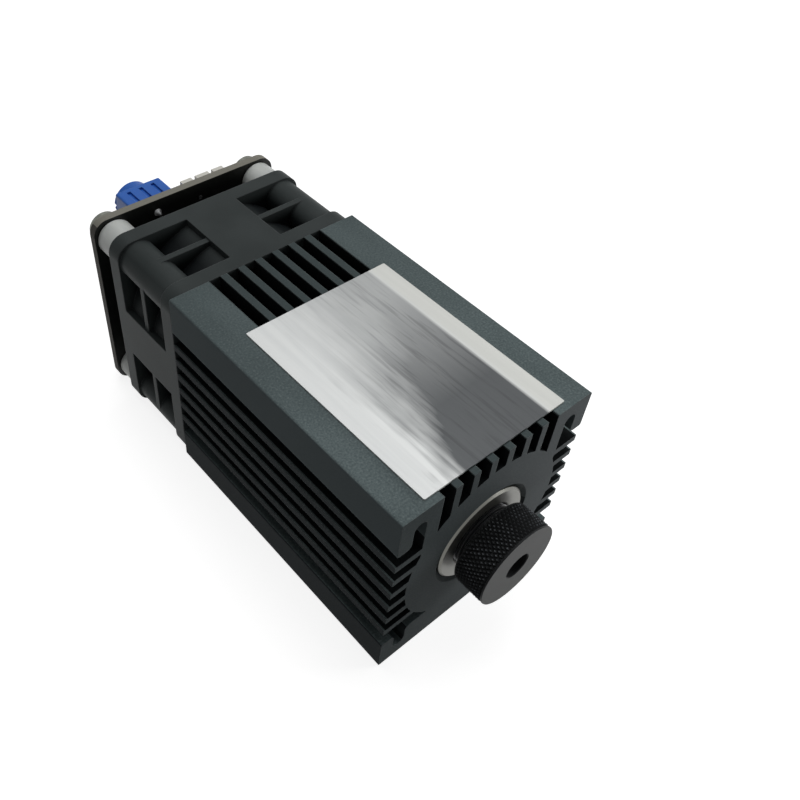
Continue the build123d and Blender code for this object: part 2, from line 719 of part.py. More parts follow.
def fan_circuit_board():
    front = FAN_FRONT + FAN_BOARD_FRONT
    hole = BEARING_TUBE_RADIUS + PRESS_GAP
    return tube(FAN_BOARD_RADIUS, hole, front, front + FAN_BOARD_THICKNESS)


def assembly_screws():
    """Pan-head screws through board, spacers and fan into the rails' channels."""
    head_front = BOARD_REAR
    tip = head_front - SCREW_LENGTH
    head_rear = head_front + SCREW_HEAD_HEIGHT
    screws = []
    for x, up in SCREW_PLACES:
        screw = turned(
            [
                (0, tip),
                (SCREW_CORE_RADIUS, tip),
                (SCREW_CORE_RADIUS, FAN_FRONT),
                (SCREW_RADIUS, FAN_FRONT),
                (SCREW_RADIUS, head_front),
                (SCREW_HEAD_RADIUS, head_front),
                (SCREW_HEAD_RADIUS, head_rear - SCREW_HEAD_ROUND),
                (SCREW_HEAD_RADIUS - SCREW_HEAD_ROUND, head_rear),
                (0, head_rear),
            ],
            x,
            up,
        )
        cross = Rectangle(SCREW_RECESS_LENGTH, SCREW_RECESS_WIDTH)
        cross += Rectangle(SCREW_RECESS_WIDTH, SCREW_RECESS_LENGTH)
        screws.append(screw - bar(Pos(x, up) * cross, head_rear - SCREW_RECESS_DEPTH, head_rear))
    return Compound(children=screws)


def board_spacers():
    """Nylon tubes that hold the board clear of the fan's inlet."""
    hole = SCREW_RADIUS + SCREW_HOLE_CLEARANCE
    return Compound(
        children=[
            turned(
                [
                    (hole, FAN_REAR),
                    (SPACER_RADIUS - SPACER_CHAMFER, FAN_REAR),
                    (SPACER_RADIUS, FAN_REAR + SPACER_CHAMFER),
                    (SPACER_RADIUS, BOARD_FRONT - SPACER_CHAMFER),
                    (SPACER_RADIUS - SPACER_CHAMFER, BOARD_FRONT),
                    (hole, BOARD_FRONT),
                ],
                x,
                up,
            )
            for x, up in SCREW_PLACES
        ]
    )


def header_pin_places(ways, x, up):
    first = x - (ways - 1) * HEADER_PITCH / 2
    return [(first + i * HEADER_PITCH, up) for i in range(ways)]


def trimmer_pin_places():
    """Triangle of three pins, the middle one a pitch above the outer two."""
    outer = [(TRIMMER_X + side * TRIMMER_PITCH, TRIMMER_UP) for side in (-1, 1)]
    return outer + [(TRIMMER_X, TRIMMER_UP + TRIMMER_PITCH)]


def driver_board():
    board = RectangleRounded(MODULE_SIZE, MODULE_SIZE, BOARD_CORNER_RADIUS)
    for x, up in SCREW_PLACES:
        board -= Pos(x, up) * Circle(SCREW_RADIUS + SCREW_HOLE_CLEARANCE)
    pins = header_pin_places(POWER_PINS, POWER_X, POWER_UP)
    pins += header_pin_places(FAN_PINS, FAN_PLUG_X, LOWER_PLUG_UP)
    pins += header_pin_places(LASER_PINS, LASER_PLUG_X, LOWER_PLUG_UP)
    for x, up in pins:
        board -= Pos(x, up) * Circle(PIN_SIDE / math.sqrt(2) + PIN_HOLE_CLEARANCE)
    for x, up in trimmer_pin_places():
        board -= Pos(x, up) * Circle(TRIMMER_PIN_RADIUS + PIN_HOLE_CLEARANCE)
    return bar(board, BOARD_FRONT, BOARD_REAR)


def trimmer_body():
    """Square moulded body with a slot over each terminal and a bore for the dial."""
    rear = BOARD_REAR + TRIMMER_DEPTH
    body = block(TRIMMER_X, TRIMMER_UP, TRIMMER_SIZE, TRIMMER_SIZE, BOARD_REAR, rear)
    body = fillet(body.edges().filter_by(Axis.Y), TRIMMER_EDGE)
    top = TRIMMER_UP + TRIMMER_SIZE / 2
    for i in (-1, 0, 1):
        body -= block(
            TRIMMER_X + i * TRIMMER_PITCH,
            top - TRIMMER_SLOT_DEPTH / 2,
            TRIMMER_SLOT_WIDTH,
            TRIMMER_SLOT_DEPTH,
            BOARD_REAR,
            BOARD_REAR + TRIMMER_SLOT_LENGTH,
        )
    depth = SPIGOT_LENGTH + SPIGOT_CLEARANCE
    return body - rod(SPIGOT_RADIUS + SPIGOT_CLEARANCE, rear - depth, rear, TRIMMER_X, TRIMMER_UP)


def trimmer_dial():
    """Finger dial on its spigot, slotted across the end."""
    body_rear = BOARD_REAR + TRIMMER_DEPTH
    front = body_rear + DIAL_GAP
    rear = front + DIAL_LENGTH
    dial = turned(
        [
            (0, body_rear - SPIGOT_LENGTH),
            (SPIGOT_RADIUS, body_rear - SPIGOT_LENGTH),
            (SPIGOT_RADIUS, front),
            (DIAL_RADIUS, front),
            (DIAL_RADIUS, rear - DIAL_EDGE),
            (DIAL_RADIUS - DIAL_EDGE, rear),
            (0, rear),
        ],
        TRIMMER_X,
        TRIMMER_UP,
    )
    slot = block(TRIMMER_X, TRIMMER_UP, 2 * DIAL_RADIUS, DIAL_SLOT_WIDTH, rear - DIAL_SLOT_DEPTH, rear)
    return dial - slot


def trimmer_pins():
    return Compound(
        children=[
            rod(TRIMMER_PIN_RADIUS, BOARD_FRONT - PIN_TAIL, BOARD_REAR, x, up)
            for x, up in trimmer_pin_places()
        ]
    )


def header(ways, x, up):
    """Open-topped header shroud with two key notches in its upper wall."""
    width = (ways - 1) * HEADER_PITCH + 2 * HEADER_END
    rear = BOARD_REAR + HEADER_HEIGHT
    shroud = block(x, up, width, HEADER_DEPTH, BOARD_REAR, rear)
    inside = (width - 2 * HEADER_WALL, HEADER_DEPTH - 2 * HEADER_WALL)
    shroud -= block(x, up, *inside, BOARD_REAR + HEADER_FLOOR, rear)
    wall_middle = up + HEADER_DEPTH / 2 - HEADER_WALL / 2
    for side in (-1, 1):
        notch_x = x + side * width / 5
        shroud -= block(notch_x, wall_middle, HEADER_NOTCH, HEADER_WALL, rear - HEADER_NOTCH_DEPTH, rear)
    for pin_x, pin_up in header_pin_places(ways, x, up):
        side = PIN_SIDE + 2 * PRESS_GAP
        shroud -= block(pin_x, pin_up, side, side, BOARD_REAR, BOARD_REAR + HEADER_FLOOR)
    return shroud


def header_pins():
    """Square pins of all three headers."""
    places = header_pin_places(POWER_PINS, POWER_X, POWER_UP)
    places += header_pin_places(FAN_PINS, FAN_PLUG_X, LOWER_PLUG_UP)
    places += header_pin_places(LASER_PINS, LASER_PLUG_X, LOWER_PLUG_UP)
    return Compound(
        children=[
            block(x, up, PIN_SIDE, PIN_SIDE, BOARD_FRONT - PIN_TAIL, BOARD_REAR + PIN_REACH)
            for x, up in places
        ]
    )


def power_inductor():
    core = block(INDUCTOR_X, INDUCTOR_UP, INDUCTOR_SIZE, INDUCTOR_SIZE, BOARD_REAR, BOARD_REAR + INDUCTOR_HEIGHT)
    return chamfer(core.edges().filter_by(Axis.Y), INDUCTOR_CORNER)


def driver_chip():
    front = BOARD_REAR + CHIP_STANDOFF
    body = block(CHIP_X, CHIP_UP, CHIP_LENGTH, CHIP_WIDTH, front, front + CHIP_HEIGHT)
    return chamfer(body.faces().sort_by(Axis.Y)[-1].edges(), CHIP_LEAD_THICKNESS)


def chip_leads():
    """Gull-wing leads along the two long sides of the chip."""
    body_edge = CHIP_WIDTH / 2
    toe = CHIP_LEAD_SPAN / 2
    heel = toe - CHIP_FOOT
    shoulder = CHIP_STANDOFF + CHIP_HEIGHT / 2
    thick = CHIP_LEAD_THICKNESS
    profile = [
        (body_edge, shoulder),
        (body_edge, shoulder + thick),
        (heel, shoulder + thick),
        (heel + thick, thick),
        (toe, thick),
        (toe, 0),
        (heel, 0),
        (heel - thick, shoulder),
    ]
    leads = []
    for side in (-1, 1):
        for i in range(CHIP_LEAD_PAIRS):
            x = CHIP_X + (i - (CHIP_LEAD_PAIRS - 1) / 2) * CHIP_LEAD_PITCH
            points = [(BOARD_REAR + depth, AXIS_Z + CHIP_UP + side * out) for out, depth in profile]
            face = make_face(Plane.YZ * Polyline(*points, close=True))
            lead = extrude(face, CHIP_LEAD_WIDTH / 2, dir=(1, 0, 0), both=True)
            leads.append(Pos(x, 0, 0) * lead)
    return Compound(children=leads)


def capacitor_base():
    front = BOARD_REAR
    side = CAPACITOR_BASE_SIDE
    base = block(CAPACITOR_X, CAPACITOR_UP, side, side, front, front + CAPACITOR_BASE_THICKNESS)
    corners = base.edges().filter_by(Axis.Y).group_by(Axis.Z)[0]
    return chamfer(corners, side / 6)


def capacitor_can():
    """Rolled aluminium can with a crimp groove above its base."""
    front = BOARD_REAR + CAPACITOR_BASE_THICKNESS
    rear = front + CAPACITOR_HEIGHT
    groove = CAPACITOR_GROOVE
    crimp = front + 3 * groove
    radius = CAPACITOR_RADIUS
    outline = [(0, front), (radius, front), (radius, crimp), (radius - groove, crimp + groove)]
    outline += [(radius, crimp + 2 * groove), (radius, rear - groove), (radius - groove, rear), (0, rear)]
    return turned(outline, CAPACITOR_X, CAPACITOR_UP)


def rectifier_diode():
    """Moulded rectifier, tapered away from the board."""
    foot = section_plane(BOARD_REAR) * Pos(RECTIFIER_X, RECTIFIER_UP) * Rectangle(
        RECTIFIER_LENGTH, RECTIFIER_WIDTH
    )
    head = section_plane(BOARD_REAR + RECTIFIER_HEIGHT) * Pos(RECTIFIER_X, RECTIFIER_UP) * Rectangle(
        RECTIFIER_LENGTH - 2 * RECTIFIER_DRAFT, RECTIFIER_WIDTH - 2 * RECTIFIER_DRAFT
    )
    return loft([foot, head])


def sense_resistor():
    rear = BOARD_REAR + RESISTOR_HEIGHT
    return block(RESISTOR_X, RESISTOR_UP, RESISTOR_LENGTH, RESISTOR_WIDTH, BOARD_REAR, rear)


NODES = {
    "heat_sink": heat_sink(),
    "label_plate": label_plate(),
    "laser_barrel": laser_barrel(),
    "barrel_grub_screws": barrel_grub_screws(),
    "laser_diode": laser_diode(),
    "diode_leads": diode_leads(),
    "diode_clamp_ring": diode_clamp_ring(),
    "lens_sleeve": lens_sleeve(),
    "focus_lens": focus_lens(),
    "lens_retainer": lens_retainer(),
    "focus_knob": focus_knob(),
    "focus_spring": focus_spring(),
    "fan_frame": fan_frame(),
    "fan_rotor": fan_rotor(),
    "rotor_yoke": rotor_yoke(),
    "rotor_magnet": rotor_magnet(),
    "fan_shaft": fan_shaft(),
    "shaft_clip": shaft_clip(),
    "fan_bearing": fan_bearing(),
    "stator_core": stator_core(),
    "stator_coils": stator_coils(),
    "fan_circuit_board": fan_circuit_board(),
    "assembly_screws": assembly_screws(),
    "board_spacers": board_spacers(),
    "driver_board": driver_board(),
    "trimmer_body": trimmer_body(),
    "trimmer_dial": trimmer_dial(),
    "trimmer_pins": trimmer_pins(),
    "power_header": header(POWER_PINS, POWER_X, POWER_UP),
    "fan_header": header(FAN_PINS, FAN_PLUG_X, LOWER_PLUG_UP),
    "laser_header": header(LASER_PINS, LASER_PLUG_X, LOWER_PLUG_UP),
    "header_pins": header_pins(),
    "power_inductor": power_inductor(),
    "driver_chip": driver_chip(),
    "chip_leads": chip_leads(),
    "capacitor_base": capacitor_base(),
    "capacitor_can": capacitor_can(),
    "rectifier_diode": rectifier_diode(),
    "sense_resistor": sense_resistor(),
}

os.makedirs("parts", exist_ok=True)
for name, solid in NODES.items():
    export_step(solid, f"parts/{name}.step")
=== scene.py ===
import bmesh
import bpy
import math
from mathutils import Matrix, Vector


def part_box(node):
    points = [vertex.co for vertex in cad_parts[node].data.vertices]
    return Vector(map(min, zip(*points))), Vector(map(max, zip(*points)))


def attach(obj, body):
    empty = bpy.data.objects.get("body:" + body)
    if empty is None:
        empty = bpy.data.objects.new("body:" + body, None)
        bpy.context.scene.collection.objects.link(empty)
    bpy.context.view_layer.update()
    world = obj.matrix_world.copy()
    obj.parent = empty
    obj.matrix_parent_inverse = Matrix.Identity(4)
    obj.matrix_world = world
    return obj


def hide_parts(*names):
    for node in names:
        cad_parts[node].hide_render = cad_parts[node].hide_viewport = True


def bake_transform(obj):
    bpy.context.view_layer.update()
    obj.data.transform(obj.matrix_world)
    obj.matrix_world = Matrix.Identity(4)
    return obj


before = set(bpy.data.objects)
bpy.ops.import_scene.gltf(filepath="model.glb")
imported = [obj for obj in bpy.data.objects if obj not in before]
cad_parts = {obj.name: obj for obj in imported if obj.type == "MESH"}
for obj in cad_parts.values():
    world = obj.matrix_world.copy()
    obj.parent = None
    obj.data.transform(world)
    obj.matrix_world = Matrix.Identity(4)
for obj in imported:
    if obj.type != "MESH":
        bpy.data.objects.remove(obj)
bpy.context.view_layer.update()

# The camera stands in front, to the left and above, as the photograph was taken. The module
# stands on a pale floor under one broad lamp overhead, with a weaker one at its front.
camera_data = bpy.data.cameras.new("camera")
camera_data.lens = 39.727
camera_data.sensor_width = 36.0
camera_data.shift_x = 0.06936
camera_data.shift_y = -0.03323
camera_data.clip_start = 0.005
camera_data.clip_end = 20.0
camera = bpy.data.objects.new("camera", camera_data)
camera.rotation_mode = "QUATERNION"
camera.location = (-0.072797, -0.070314, 0.137322)
camera.rotation_quaternion = (0.873444, 0.342691, -0.152801, -0.310338)
bpy.context.scene.collection.objects.link(camera)
bpy.context.scene.camera = camera
bpy.context.scene.view_settings.view_transform = "Standard"


def soft_lamp(name, place, target, size, power):
    """One square soft box that shines from its place towards a target."""
    lamp_data = bpy.data.lights.new(name, "AREA")
    lamp_data.shape = "SQUARE"
    lamp_data.size = size
    lamp_data.energy = power
    lamp = bpy.data.objects.new(name, lamp_data)
    lamp.location = place
    lamp.rotation_mode = "QUATERNION"
    lamp.rotation_quaternion = (Vector(target) - Vector(place)).to_track_quat("-Z", "Y")
    bpy.context.scene.collection.objects.link(lamp)


soft_lamp("overhead_lamp", (0.12, 0.16, 0.62), target=(0.0, 0.0, 0.02), size=0.42, power=2.1)
soft_lamp("front_lamp", (0.11, -0.095, 0.075), target=(0.0, -0.03, 0.02), size=0.06, power=0.062)


def reckon(tree, operation, first, second=0.0):
    """One sum on sockets or numbers."""
    node = tree.nodes.new("ShaderNodeMath")
    node.operation = operation
    for socket, value in zip(node.inputs, (first, second)):
        if isinstance(value, (int, float)):
            socket.default_value = value
        else:
            tree.links.new(value, socket)
    return node.outputs[0]


def between(tree, factor, low, high, low_at=0.0, high_at=1.0):
    """A value that runs from low to high as the factor passes from low_at to high_at."""
    node = tree.nodes.new("ShaderNodeMapRange")
    node.inputs["From Min"].default_value = low_at
    node.inputs["From Max"].default_value = high_at
    node.inputs["To Min"].default_value = low
    node.inputs["To Max"].default_value = high
    tree.links.new(factor, node.inputs["Value"])
    return node.outputs["Result"]


def background_rays(tree):
    """1 for a ray that shows the background, seen straight, in metal or through glass."""
    rays = tree.nodes.new("ShaderNodeLightPath").outputs
    shown = reckon(tree, "MAXIMUM", rays["Is Camera Ray"], rays["Is Glossy Ray"])
    return reckon(tree, "MAXIMUM", shown, rays["Is Transmission Ray"])


room_light = 0.10
room = bpy.data.worlds.new("room")
room.use_nodes = True
bpy.context.scene.world = room
tree = room.node_tree
air = tree.nodes["Background"]
air.inputs["Color"].default_value = (1.0, 1.0, 1.0, 1.0)
tree.links.new(between(tree, background_rays(tree), room_light, 1.0), air.inputs["Strength"])

floor_drop = 0.0002
near_glow, near_reach = 0.84, 0.15
far_glow, far_reach = 1.0, 0.70
floor_mesh = bpy.data.meshes.new("floor")
bm = bmesh.new()
bmesh.ops.create_grid(bm, x_segments=1, y_segments=1, size=4.0)
bmesh.ops.translate(bm, verts=bm.verts, vec=(0.0, 0.0, -floor_drop))
bm.to_mesh(floor_mesh)
bm.free()
floor = bpy.data.objects.new("floor", floor_mesh)
bpy.context.scene.collection.objects.link(floor)
floor_paint = bpy.data.materials.new("pale_floor")
floor_paint.use_nodes = True
floor_mesh.materials.append(floor_paint)
tree = floor_paint.node_tree
shader = tree.nodes["Principled BSDF"]
shader.inputs["Base Color"].default_value = (0.50, 0.50, 0.50, 1.0)
shader.inputs["Roughness"].default_value = 1.0
shader.inputs["Specular IOR Level"].default_value = 0.0
shader.inputs["Emission Color"].default_value = (1.0, 1.0, 1.0, 1.0)
reach = tree.nodes.new("ShaderNodeVectorMath")
reach.operation = "LENGTH"
tree.links.new(tree.nodes.new("ShaderNodeTexCoord").outputs["Object"], reach.inputs[0])
glow = between(tree, reach.outputs["Value"], near_glow, far_glow, near_reach, far_reach)
glow = reckon(tree, "MULTIPLY", background_rays(tree), glow)
tree.links.new(glow, shader.inputs["Emission Strength"])


# The heat sink is one aluminium extrusion, blasted and anodised black. The die leaves fine
# lines along it, sawing leaves straight marks across its ends, and the long edges are painted
# pale, partly as wear and partly as a painted highlight.
def paint(red, green, blue):
    """A colour as seen on a screen, turned into the shader's own scale."""
    parts = [c / 255 for c in (red, green, blue)]
    scaled = [p / 12.92 if p <= 0.04045 else ((p + 0.055) / 1.055) ** 2.4 for p in parts]
    return (*scaled, 1.0)


def new_finish(name, colour, metallic, roughness):
    """A material with one plain shader; gives the material, its node tree and the shader."""
    finish = bpy.data.materials.new(name)
    finish.use_nodes = True
    shader = finish.node_tree.nodes["Principled BSDF"]
    shader.inputs["Base Color"].default_value = paint(*colour)
    shader.inputs["Metallic"].default_value = metallic
    shader.inputs["Roughness"].default_value = roughness
    return finish, finish.node_tree, shader


def product(tree, first, *others):
    """Sockets or numbers multiplied together."""
    for other in others:
        first = reckon(tree, "MULTIPLY", first, other)
    return first


def within(tree, value, low, high):
    """1 where a value lies between two limits, and 0 elsewhere."""
    over = reckon(tree, "GREATER_THAN", value, low)
    return product(tree, over, reckon(tree, "LESS_THAN", value, high))


def place_on_piece(tree, stretch=(1.0, 1.0, 1.0)):
    """The piece's own coordinates, in metres, stretched along its axes."""
    spot = tree.nodes.new("ShaderNodeTexCoord")
    mapping = tree.nodes.new("ShaderNodeMapping")
    mapping.inputs["Scale"].default_value = stretch
    tree.links.new(spot.outputs["Object"], mapping.inputs["Vector"])
    return mapping.outputs["Vector"]


def xyz_of(tree, vector):
    """The three parts of a vector, called X, Y and Z."""
    parts = tree.nodes.new("ShaderNodeSeparateXYZ")
    tree.links.new(vector, parts.inputs[0])
    return parts.outputs


def grain(tree, scale, stretch=(1.0, 1.0, 1.0), detail=2.0):
    """Random grain, from 0 to 1, with its size set by the scale in grains per metre."""
    noise = tree.nodes.new("ShaderNodeTexNoise")
    noise.inputs["Scale"].default_value = scale
    noise.inputs["Detail"].default_value = detail
    tree.links.new(place_on_piece(tree, stretch), noise.inputs["Vector"])
    return noise.outputs["Fac"]


def blend_colours(tree, factor, first, second):
    """Colour that goes from the first to the second; each is a screen colour or a socket."""
    node = tree.nodes.new("ShaderNodeMix")
    node.data_type = "RGBA"
    tree.links.new(factor, node.inputs["Factor"])
    for socket, colour in zip([s for s in node.inputs if s.type == "RGBA"], (first, second)):
        if isinstance(colour, tuple):
            socket.default_value = paint(*colour)
        else:
            tree.links.new(colour, socket)
    return [s for s in node.outputs if s.type == "RGBA"][0]


def shade(tree, first, second, value, share=1.0, low_at=0.0, high_at=1.0):
    """Brings in a share of the second colour as a value passes from low_at to high_at."""
    return blend_colours(tree, between(tree, value, 0.0, share, low_at, high_at), first, second)


def tint(tree, shader, factor, first, second):
    """Gives the surface a colour that goes from the first to the second."""
    tree.links.new(blend_colours(tree, factor, first, second), shader.inputs["Base Color"])


def gloss(tree, shader, factor, low, high, low_at=0.0, high_at=1.0):
    """Gives the surface a roughness that runs from low to high."""
    roughness = between(tree, factor, low, high, low_at, high_at)
    tree.links.new(roughness, shader.inputs["Roughness"])


def rounded_normal(tree, radius):
    """Surface direction as if each sharp edge were rounded by this radius."""
    bevel = tree.nodes.new("ShaderNodeBevel")
    bevel.samples = 4
    bevel.inputs["Radius"].default_value = radius
    return bevel.outputs["Normal"]


def edge_share(tree, normal):
    """1 on a sharp edge and 0 on a flat: how far the rounded direction leaves the true one."""
    true_side = tree.nodes.new("ShaderNodeNewGeometry")
    match = tree.nodes.new("ShaderNodeVectorMath")
    match.operation = "DOT_PRODUCT"
    tree.links.new(normal, match.inputs[0])
    tree.links.new(true_side.outputs["Normal"], match.inputs[1])
    return between(tree, match.outputs["Value"], 1.0, 0.0, 0.80, 0.985)


def relief(tree, shader, height, depth, normal=None):
    """Small raised and sunk marks in the surface, on top of rounded edges if given."""
    bump = tree.nodes.new("ShaderNodeBump")
    bump.inputs["Distance"].default_value = depth
    bump.inputs["Strength"].default_value = 1.0
    tree.links.new(height, bump.inputs["Height"])
    if normal is not None:
        tree.links.new(normal, bump.inputs["Normal"])
    tree.links.new(bump.outputs["Normal"], shader.inputs["Normal"])


def facing(tree, axis, least=0.7):
    """1 where the surface faces along an axis, whichever way it points, and 0 elsewhere."""
    side = tree.nodes.new("ShaderNodeNewGeometry").outputs["Normal"]
    squareness = reckon(tree, "ABSOLUTE", xyz_of(tree, side)[axis])
    return reckon(tree, "GREATER_THAN", squareness, least)


def dress(finish, *names):
    """Gives a finish to the solids of these names."""
    for name in names:
        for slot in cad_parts[name].material_slots:
            slot.material = finish


# Places and depths in a finish are in metres. The grooves between the fins, on the two sides
# and on top, are painted near black as shade, darker than the blasted faces round them.
micron = 0.000001
sink_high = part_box("heat_sink")[1]
groove_skin = 0.0003
side_fins_foot, side_fins_top = 0.0072, 0.0328
top_fins_foot, top_fins_reach = 0.0320, 0.0122
top_rail_foot = 0.0326
anodised, tree, shader = new_finish("black_anodising", (70, 79, 80), 0.0, 0.62)
shader.inputs["Specular IOR Level"].default_value = 0.03
spot = xyz_of(tree, place_on_piece(tree))
from_middle = reckon(tree, "ABSOLUTE", spot["X"])
ends = facing(tree, "Y")
lengthways = reckon(tree, "SUBTRACT", 1.0, ends)
side_grooves = product(
    tree, reckon(tree, "LESS_THAN", from_middle, sink_high.x - groove_skin),
    within(tree, spot["Z"], side_fins_foot, side_fins_top))
top_fins = product(
    tree, reckon(tree, "LESS_THAN", from_middle, top_fins_reach),
    reckon(tree, "GREATER_THAN", spot["Z"], top_fins_foot), lengthways)
below_top = reckon(tree, "LESS_THAN", spot["Z"], sink_high.z - groove_skin)
painted_groove_shade = reckon(tree, "MAXIMUM", side_grooves, product(tree, top_fins, below_top))
painted_groove_shade = product(tree, painted_groove_shade, lengthways)

blasting = grain(tree, 5200, detail=3.0)
pits = grain(tree, 2900, detail=3.0)
cloud = grain(tree, 160, stretch=(1.0, 0.35, 1.0))
tone = shade(tree, (92, 103, 104), (106, 118, 119), cloud, low_at=0.3, high_at=0.7)
tone = shade(tree, tone, (56, 64, 66), pits, 0.30, low_at=0.50, high_at=0.36)
tone = shade(tree, tone, (146, 158, 158), pits, 0.32, low_at=0.54, high_at=0.72)
tone = shade(tree, tone, (72, 81, 82), spot["Y"], 0.45, low_at=-0.01, high_at=0.03)
# Painted light: the end faces run from darker at the left to lighter at the right.
painted_end_light = shade(tree, (62, 66, 67), (92, 94, 96), spot["X"], low_at=-0.016, high_at=0.014)
tone = blend_colours(tree, product(tree, ends, 0.75), tone, painted_end_light)
# Painted shade: faces square to X are darker than the top and darker towards the bottom, the top
# rail's sides lighter.
painted_side_shade = shade(tree, (28, 31, 33), (48, 52, 54), spot["Z"], low_at=0.012, high_at=0.036)
top_rail = reckon(tree, "GREATER_THAN", spot["Z"], top_rail_foot)
painted_side_shade = blend_colours(tree, top_rail, painted_side_shade, (86, 94, 96))
tone = blend_colours(tree, product(tree, facing(tree, "X"), 0.92), tone, painted_side_shade)
tone = blend_colours(tree, product(tree, top_fins, 0.7), tone, (60, 68, 69))
soft_edges = rounded_normal(tree, 160 * micron)
# The pale edges are partly wear and partly a painted highlight.
wear_and_glint_patches = between(tree, grain(tree, 900), 0.15, 0.75, 0.35, 0.65)
worn_and_highlit_edges = product(tree, edge_share(tree, soft_edges), wear_and_glint_patches)
tone = blend_colours(tree, worn_and_highlit_edges, tone, (150, 156, 155))
# Painted shade: the grooves are tinted near black.
tint(tree, shader, product(tree, painted_groove_shade, 0.95), tone, (6, 7, 8))
gloss(tree, shader, blasting, 0.54, 0.70, 0.3, 0.7)

die_lines = grain(tree, 3800, stretch=(1.0, 0.004, 1.0), detail=4.0)
saw_lines = grain(tree, 4200, stretch=(0.04, 1.0, 1.0))
lines = product(tree, die_lines, lengthways)
lines = reckon(tree, "ADD", lines, product(tree, saw_lines, ends))
lines = reckon(tree, "ADD", lines, product(tree, blasting, 0.5))
relief(tree, shader, lines, 12 * micron, soft_edges)
dress(anodised, "heat_sink")


# The laser barrel is turned from aluminium and left bright, with the cutter's rings on its
# face. Two black socket grub screws come up through the base and hold it in the bore.
# New pieces are drawn in mm, and the beam runs at this height over the base.
beam_height = 20.0
beam_axis = (0.0, beam_height / 1000)


def place_from_axis(tree, middle=beam_axis):
    """X, Y and Z in metres, with X and Z counted from a line parallel to Y at x and z."""
    shift = tree.nodes.new("ShaderNodeMapping")
    shift.inputs["Location"].default_value = (-middle[0], 0.0, -middle[1])
    tree.links.new(place_on_piece(tree), shift.inputs["Vector"])
    return xyz_of(tree, shift.outputs["Vector"])


def distance_out(tree, spot):
    """Distance of a place from the line that its X and Z are counted from."""
    squares = [reckon(tree, "POWER", spot[axis], 2.0) for axis in "XZ"]
    return reckon(tree, "SQRT", reckon(tree, "ADD", *squares))


def turning_rings(tree, pitch, middle=beam_axis):
    """Rings that a cutter leaves round a line parallel to Y, on faces and on round sides."""
    spot = place_from_axis(tree, middle)
    rings = tree.nodes.new("ShaderNodeCombineXYZ")
    tree.links.new(reckon(tree, "DIVIDE", distance_out(tree, spot), pitch), rings.inputs["X"])
    tree.links.new(reckon(tree, "DIVIDE", spot["Y"], pitch), rings.inputs["Y"])
    noise = tree.nodes.new("ShaderNodeTexNoise")
    noise.inputs["Scale"].default_value = 1.0
    noise.inputs["Detail"].default_value = 2.0
    tree.links.new(rings.outputs[0], noise.inputs["Vector"])
    return noise.outputs["Fac"]


def mottled_finish(name, colour, metallic, roughness, mottle, dark, pale, detail=2.0,
                   sheen=None, texture=None, rounding=None, sockets={}):
    """A finish mottled from dark to pale by grain of that scale.

    The sheen is a grain and the least and most roughness. The texture is a grain and its
    depth, with edges softened by the rounding. Further sockets of the shader go by name.
    """
    finish, tree, shader = new_finish(name, colour, metallic, roughness)
    for socket, value in sockets.items():
        shader.inputs[socket].default_value = value
    tint(tree, shader, grain(tree, mottle, detail=detail), dark, pale)
    if sheen:
        gloss(tree, shader, grain(tree, sheen[0]), sheen[1], sheen[2])
    if texture:
        edges = rounded_normal(tree, rounding) if rounding else None
        relief(tree, shader, grain(tree, texture[0]), texture[1], edges)
    return finish


bright_turned, tree, shader = new_finish("bright_turned_aluminium", (124, 124, 119), 0.9, 0.36)
rings = turning_rings(tree, 110 * micron)
tint(tree, shader, rings, (84, 84, 80), (124, 124, 118))
gloss(tree, shader, rings, 0.30, 0.46)
relief(tree, shader, rings, 16 * micron, rounded_normal(tree, 80 * micron))
dress(bright_turned, "laser_barrel")

black_steel = mottled_finish(
    "black_oxide_steel", (44, 43, 42), metallic=0.85, roughness=0.38,
    mottle=2600, dark=(34, 34, 33), pale=(60, 59, 57),
    texture=(5000, 8 * micron), rounding=100 * micron)
dress(black_steel, "barrel_grub_screws")


# The diode is a gold-plated can on its flange with three leads. A slotted brass ring screws
# in behind it and presses the flange on its seat.
gold_plate = mottled_finish(
    "gold_plate", (212, 176, 104), metallic=1.0, roughness=0.28,
    mottle=900, dark=(198, 160, 88), pale=(226, 192, 124), sheen=(2400, 0.20, 0.38))
dress(gold_plate, "laser_diode", "diode_leads")

turned_brass, tree, shader = new_finish("turned_brass", (190, 154, 88), 1.0, 0.34)
rings = turning_rings(tree, 120 * micron)
tint(tree, shader, rings, (166, 130, 66), (208, 174, 108))
relief(tree, shader, rings, 12 * micron, rounded_normal(tree, 80 * micron))
dress(turned_brass, "diode_clamp_ring", "lens_retainer", "fan_bearing")


# The lens cell is a black sleeve with a fine thread cut along its whole length. The coated
# glass lens sits in it on a shoulder, behind a ring. A steel spring behind the cell takes up
# the thread's play, and stretches and shortens as the sleeve is turned.
def box_mm(node):
    """Lowest and highest corners of a CAD piece, in mm."""
    return [corner * 1000 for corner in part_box(node)]


